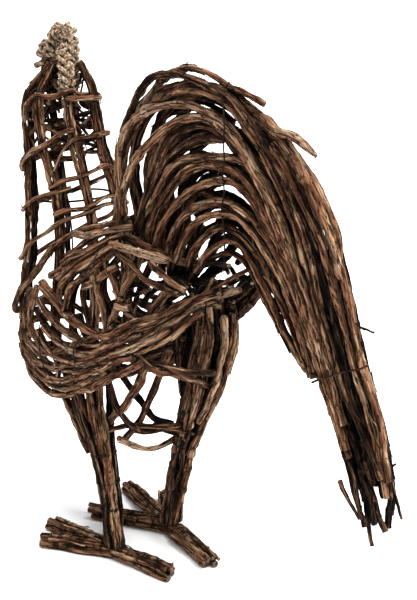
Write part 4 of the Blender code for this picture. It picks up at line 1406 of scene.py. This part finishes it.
thigh = {
    "one": (0.0050, ((0.070, -0.104, 0.236), (0.066, -0.080, 0.204), (0.064, -0.058, 0.172),
        (0.062, -0.040, 0.137))),
    "two": (0.0046, ((0.080, -0.046, 0.256), (0.074, -0.036, 0.218), (0.070, -0.028, 0.181),
        (0.066, -0.018, 0.140))),
    "three": (0.0050, ((0.062, -0.090, 0.250), (0.058, -0.066, 0.206), (0.056, -0.044, 0.168),
        (0.056, -0.026, 0.128))),
    "four": (0.0044, ((0.078, -0.020, 0.262), (0.076, -0.014, 0.220), (0.072, -0.008, 0.178),
        (0.068, -0.004, 0.140))),
}

rightThigh = {
    "inner": (0.0050, shown((-0.034, 174, 322), (-0.038, 177, 350), (-0.042, 180, 378), (-0.046, 184, 404),
        (-0.050, 187, 428))),
    "innerTwo": (0.0046, shown((-0.048, 190, 318), (-0.050, 189, 346), (-0.052, 187, 372), (-0.054, 188, 400),
        (-0.054, 190, 424))),
    "innerThree": (0.0050, shown((-0.040, 182, 340), (-0.042, 181, 362), (-0.046, 184, 388),
        (-0.050, 189, 416), (-0.052, 190, 440))),
}

belly = {
    "lowLoop": (0.0042, ((0.060, 0.023, 0.181), (0.040, 0.023, 0.166), (0.005, 0.020, 0.147),
        (-0.025, 0.020, 0.146), (-0.052, 0.026, 0.155))),
    "thick": (0.0054, ((0.060, 0.086, 0.306), (0.060, 0.058, 0.259), (0.056, 0.023, 0.219),
        (0.050, -0.021, 0.184), (0.060, -0.036, 0.172))),
    "sling": (0.0046, ((0.070, 0.008, 0.286), (0.066, 0.018, 0.250), (0.062, 0.023, 0.224),
        (0.040, 0.022, 0.193), (0.020, 0.024, 0.178), (-0.010, 0.034, 0.178), (-0.048, 0.048, 0.162))),
    "dark": (0.0048, ((0.034, -0.022, 0.272), (0.020, 0.015, 0.223), (0.005, 0.029, 0.195),
        (-0.022, 0.037, 0.181))),
    "steep": (0.0050, ((0.020, 0.078, 0.305), (0.020, 0.050, 0.252), (0.020, 0.033, 0.219),
        (0.020, 0.018, 0.192), (0.032, 0.000, 0.162))),
    "level": (0.0038, ((0.064, -0.008, 0.180), (0.040, 0.011, 0.187), (0.000, 0.035, 0.184),
        (-0.052, 0.043, 0.174))),
    "short": (0.0040, ((-0.004, 0.016, 0.178), (-0.030, 0.029, 0.163), (-0.054, 0.046, 0.154))),
    "toKnee": (0.0046, ((0.082, 0.070, 0.322), (0.060, 0.097, 0.298), (0.020, 0.089, 0.277),
        (-0.040, 0.080, 0.246), (-0.064, 0.072, 0.228))),
    "toKneeUpper": (0.0044, ((0.084, 0.060, 0.312), (0.040, 0.100, 0.296), (0.000, 0.104, 0.280),
        (-0.050, 0.090, 0.262), (-0.066, 0.078, 0.250))),
}

saddle = {
    "collarEnd": (0.0050, ((0.060, -0.060, 0.440), (0.066, -0.022, 0.446), (0.070, 0.012, 0.459),
        (0.066, 0.038, 0.466), (0.058, 0.054, 0.468)), 1.0),
    "pale": (0.0052, shown((0.070, 112, 244), (0.074, 124, 249), (0.078, 139, 253), (0.078, 153, 256),
        (0.074, 167, 260)), 1.25),
    "long": (0.0044, ((0.066, 0.018, 0.455), (0.072, 0.031, 0.447), (0.076, 0.055, 0.439),
        (0.078, 0.080, 0.430), (0.080, 0.112, 0.420), (0.080, 0.141, 0.415), (0.080, 0.165, 0.415))),
    "tipped": (0.0040, ((0.068, 0.100, 0.438), (0.070, 0.117, 0.432), (0.074, 0.144, 0.425),
        (0.076, 0.171, 0.419)), 0.95),
    "thin": (0.0026, ((0.034, 0.237, 0.452), (0.056, 0.209, 0.431), (0.072, 0.183, 0.411),
        (0.090, 0.141, 0.381), (0.096, 0.070, 0.340))),
    "stub": (0.0050, ((0.052, 0.184, 0.413), (0.046, 0.204, 0.418), (0.040, 0.225, 0.425))),
    "crossTwo": (0.0048, ((0.040, 0.042, 0.430), (0.050, 0.034, 0.390), (0.056, 0.020, 0.358),
        (0.062, 0.004, 0.320))),
    "crossThree": (0.0046, ((0.020, 0.050, 0.428), (0.012, 0.016, 0.375), (0.010, -0.018, 0.316))),
}

rump = {                        # the nest under the root of the tail, given a near-black tone as painted shade
    "count": 36,
    "backs": (0.040, 0.192),
    "across": 0.052,
    "reaches": (0.030, 0.062),
    "slope": 0.45,
    "slopeSpan": (-0.5, 0.3),
    "low": (0.370, 0.40, 0.09),    # height, rise towards the back, and where the rise begins
    "heightSpan": (-0.010, 0.036),
    "drift": 0.3,
    "arch": 0.006,
    "rearReach": 0.7,
    "radii": (0.0030, 0.0052),
    "tip": 0.6,
    "tone": -0.1,
}


def makeRump():
    look = rump
    rods = []
    for _ in range(look["count"]):
        back = chance.uniform(*look["backs"])
        slope = look["slope"] + chance.uniform(*look["slopeSpan"])
        reach = chance.uniform(*look["reaches"])
        across = chance.uniform(-1.0, 1.0) * look["across"]
        height, rise, begin = look["low"]
        up = height + rise * (back - begin) + chance.uniform(*look["heightSpan"])
        drift, rear = reach * look["drift"], look["rearReach"]
        guides = [(across - drift, back - reach, up - slope * reach),
                  (across, back, up + look["arch"]),
                  (across + drift, back + reach * rear, up + slope * reach * rear)]
        rods.append(vine(guides, chance.uniform(*look["radii"]), tip=look["tip"], tone=look["tone"]))
    return rods


# Beak, comb and wattle

beak = {
    "upper": (0.0046, ((0.0044, -0.138, 0.655), (0.0042, -0.175, 0.646), (0.0032, -0.206, 0.637))),
    "lower": (0.0042, ((-0.0044, -0.140, 0.653), (-0.0042, -0.175, 0.643), (-0.0032, -0.200, 0.634))),
}

comb = {
    "plait": (0.0092, 0.0060, 0.036, 0.0027, 0.0027),    # half width, half depth, pitch, radius, pairing
    "hangPlait": (0.0064, 0.0040, 0.034, 0.0027, 0.0027),
    "wattlePlait": (0.0036, 0.0022, 0.024, 0.0024, 0.0),
    "spacing": 0.0018,
    "pairDepth": 0.6,
    "nape": ((-0.139, 0.614), (-0.136, 0.642), (-0.132, 0.666), (-0.137, 0.683), (-0.153, 0.688),
             (-0.165, 0.676), (-0.169, 0.654)),
    "front": ((-0.162, 0.646), (-0.174, 0.661), (-0.186, 0.663), (-0.190, 0.652), (-0.180, 0.642)),
    "hang": ((0.010, -0.135, 0.668), (0.018, -0.124, 0.654), (0.021, -0.119, 0.638), (0.019, -0.119, 0.622),
             (0.016, -0.123, 0.606)),
    "coreRadius": 0.0052,
    "knots": ((-0.128, 0.688, 0.0078), (-0.127, 0.640, 0.0080)),      # back, up, size
    "knotLoops": ((1.0, 0.0085), (0.52, 0.0100)),        # share of the size, how far to the left
    "knotGuides": 13,
    "knotRadius": 0.0027,
    "wattle": ((-0.190, 0.636), (-0.200, 0.616), (-0.208, 0.588), (-0.206, 0.560)),
    "bits": (((0.0, -0.196, 0.636), (0.004, -0.184, 0.625), (0.002, -0.160, 0.617)),
             ((0.002, -0.192, 0.556), (0.004, -0.173, 0.552), (0.001, -0.166, 0.545))),
    "bitRadius": 0.0028,
}


# Three cords, or three pairs of cords, plaited along a line. A guide of two values lies in the middle plane.

def plait(guides, wide, deep, pitch, radius, pairing):
    rows = smoothRoute([(*[0.0] * (3 - len(guide)), *guide) for guide in guides], comb["spacing"])
    lengths = measured(rows)
    along = np.gradient(rows, axis=0)
    along /= np.linalg.norm(along, axis=1)[:, None]
    outward = np.cross(along, (1.0, 0.0, 0.0))
    cords = []
    for k in range(3):
        turn = fullTurn * (lengths / pitch + k / 3)
        for side in ((-1, 1) if pairing else (0,)):
            across = wide * np.sin(turn) + side * pairing * np.cos(turn * 0.5)
            over = deep * np.sin(2 * turn) + side * pairing * comb["pairDepth"]
            place = rows + np.outer(across, (1.0, 0.0, 0.0)) + outward * over[:, None]
            cords.append(strand(place, np.full(len(place), radius)))
    return cords


def makeKnot(back, up, size):                 # a loop of cord that stands on the comb
    cords = []
    for scale, aside in comb["knotLoops"]:
        guides = [(aside, back + size * scale * math.cos(turn), up + size * scale * math.sin(turn))
                  for turn in np.linspace(0.0, fullTurn, comb["knotGuides"])]
        cords.append(plain(guides, comb["knotRadius"], comb["spacing"], closed=True))
    return cords


def makeComb():
    cords = plait(comb["nape"], *comb["plait"]) + plait(comb["front"], *comb["plait"])
    cords += plait(comb["hang"], *comb["hangPlait"])
    for knot in comb["knots"]:
        cords += makeKnot(*knot)
    return cords + [plain([(0.0, *guide) for guide in comb[lobe]], comb["coreRadius"])
                    for lobe in ("nape", "front")]


def makeWattle():
    cords = plait(comb["wattle"], *comb["wattlePlait"])
    return cords + [plain(bit, comb["bitRadius"]) for bit in comb["bits"]]


# Wires

wires = {
    "upright": (0.0011, ((0.010, -0.197, 0.600), (0.010, -0.208, 0.572), (0.008, -0.218, 0.504),
        (0.006, -0.224, 0.430), (0.010, -0.227, 0.386), (0.020, -0.225, 0.300))),
    "uprightFar": (0.0013, ((-0.036, -0.212, 0.470), (-0.050, -0.214, 0.410), (-0.052, -0.214, 0.330))),
    "archTie": (0.0010, ((0.016, 0.182, 0.655), (0.032, 0.186, 0.646), (0.040, 0.197, 0.628),
        (0.044, 0.203, 0.606), (0.041, 0.198, 0.596), (0.045, 0.204, 0.572), (0.042, 0.198, 0.560),
        (0.044, 0.203, 0.538), (0.042, 0.197, 0.514), (0.041, 0.201, 0.488), (0.034, 0.192, 0.440))),
    "smallLoop": (0.0009, ((0.020, -0.087, 0.553), (0.020, -0.079, 0.541), (0.020, -0.086, 0.531),
        (0.020, -0.091, 0.541), (0.020, -0.086, 0.551))),
    "tipTieOne": (0.0011, ((0.026, 0.398, 0.254), (0.022, 0.405, 0.257), (0.016, 0.410, 0.258))),
    "tipTieTwo": (0.0013, ((-0.004, 0.410, 0.252), (-0.008, 0.415, 0.254), (-0.012, 0.420, 0.259))),
    "ringTieOne": (0.0009, ((0.088, 0.004, 0.344), (0.096, -0.006, 0.322), (0.098, -0.018, 0.300),
        (0.090, -0.026, 0.276))),
    "ringTieTwo": (0.0009, ((0.070, -0.118, 0.330), (0.084, -0.112, 0.300), (0.088, -0.104, 0.262),
        (0.080, -0.098, 0.238))),
    "bellyLoop": (0.0010, ((-0.020, 0.060, 0.190), (-0.030, 0.044, 0.196), (-0.046, 0.052, 0.214),
        (-0.054, 0.066, 0.238))),
}

neckRing = {"middle": (0.0, -0.137, 0.468), "half": 0.050, "tilt": 0.09, "radius": 0.0016, "guides": 40}


def makeNeckRing():
    x, y, z = neckRing["middle"]
    half, tilt = neckRing["half"], neckRing["tilt"]
    guides = [(x + half * math.cos(turn), y + half * math.sin(turn), z + half * tilt * math.sin(turn))
              for turn in np.linspace(0.0, fullTurn, neckRing["guides"])]
    return plain(guides, neckRing["radius"], closed=True)


# Floor, light and camera

def makeStudio():
    mesh = bpy.data.meshes.new("floor")
    size = studio["floorReach"]
    corners = [(-size, -size, 0), (size, -size, 0), (size, size, 0), (-size, size, 0)]
    mesh.from_pydata(corners, [], [(0, 1, 2, 3)])
    floor = newObject("floor", mesh)
    material, patch, shader = newMaterial("pale_floor")
    patch.feed(shader, {
        "Base Color": studio["floorColour"], "Roughness": studio["floorRoughness"], "Specular IOR Level": 0.0})
    mesh.materials.append(material)
    world = bpy.data.worlds.new("studio")
    world.use_nodes = True
    Patch(world.node_tree).feed(world.node_tree.nodes["Background"], {
        "Color": studio["worldColour"], "Strength": studio["worldStrength"]})
    bpy.context.scene.world = world
    for name, (strength, angle, source) in studio["suns"].items():
        light = bpy.data.lights.new(name, "SUN")
        light.energy = strength
        light.angle = math.radians(angle)
        lamp = newObject(name, light)
        lamp.rotation_euler = (-Vector(source)).to_track_quat("-Z", "Y").to_euler()
    camera = newObject("camera", bpy.data.cameras.new("camera"))
    camera.data.lens = studio["lens"]
    camera.location = Vector(np.array(studio["cameraPlace"]) - planCentre)
    camera.rotation_mode = "QUATERNION"
    camera.rotation_quaternion = (-Vector(towardsCamera())).to_track_quat("-Z", "Y")
    bpy.context.scene.camera = camera
    bpy.context.scene.view_settings.view_transform = "Standard"


# Assembly

makeStudio()
print("studio made")
shaggy = []                                   # rods whose bark comes away


def numbered(name, first, last):
    return [name + "_%d" % k for k in range(first, last + 1)]


innerTail, outerTail = makeTail()
outerTail += makeArcs()
stubs = byHand(tailStubs, tone=0.75) + byHand(tailTips, tone=0.2)
sweep("tail_vines_inner", "rod", innerTail, numbered("tail_rod", 1, 10))
sweep("tail_vines_outer", "rod", outerTail + stubs, numbered("tail_rod", 11, 20) + ["tail_stub"])
tieTwig = makeTieTwig()
sweep("tail_binder_twig", "twig", [makeBinder(), tieTwig], ["tail_root_binder"])
shaggy += innerTail + outerTail + stubs

leftRings = makeNearRings()
rightRings = makeFarRings()
breastRods = makeBreast()
sweep("left_body_vines", "rod", leftRings, numbered("left_body_ring", 1, 4))
sweep("right_body_vines", "rod", rightRings, numbered("right_body_ring", 1, 4))
sweep("breast_vines", "rod", breastRods, ["breast_rod_1", "breast_rod_2"])
shaggy += leftRings + rightRings + breastRods

staveRods = makeStaves()
hoops = makeHoops()
sweep("neck_stave_vines", "rod", staveRods, numbered("neck_stave", 1, 8))
sweep("neck_hoop_vines", "twig", hoops, numbered("neck_hoop", 1, 4) + ["neck_collar"])
sweep("neck_tangle_twigs", "twig", makeTangle())
shaggy += staveRods + hoops

toeWires, legTies = [], []
for side in ("left", "right"):
    legRods = makeLeg(side)
    footRods, windings = makeFoot(side)
    # the far thigh's twigs take a darker tone than the near thigh's: painted shade
    legRods += byHand(thigh, tone=0.55) if side == "left" else byHand(rightThigh, tone=0.1)
    sweep(side + "_leg_twigs", "bundle", legRods, [side + "_leg"])
    footNodes = [side + part for part in ("_foot_keel", "_toe_outer", "_toe_inner")]
    sweep(side + "_foot_twigs", "bundle", footRods, footNodes)
    shaggy += legRods + footRods
    toeWires += windings
    legTies += makeLegTies(side)

bellyTwigs = byHand(belly, wild=0.5)
saddleTwigs = byHand(saddle) + makeRump()
beakTwigs = byHand(beak)
sweep("belly_twigs", "twig", bellyTwigs, ["belly_loop_low", "belly_loop_high", "belly_cross_rod"])
sweep("saddle_twigs", "twig", saddleTwigs)
sweep("beak_twigs", "twig", beakTwigs, ["beak"])
shaggy += bellyTwigs + saddleTwigs + beakTwigs

sweep("comb_rope", "rope", makeComb(), ["rope_comb"], "jute_rope")
sweep("wattle_rope", "rope", makeWattle(), ["rope_wattle"], "jute_rope")
steelWires = [plain(guides, radius) for radius, guides in wires.values()] + toeWires + legTies
sweep("steel_wires", "wire", steelWires + [makeNeckRing()], [], "steel_wire")
sweep("bark_strips", "strip", peel(shaggy, "strip"))
sweep("bark_splinters", "strip", peel(shaggy, "splinter"))
shadePieces()
ridePieces()
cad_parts["tail_tie_wire"].material_slots[0].material = steel
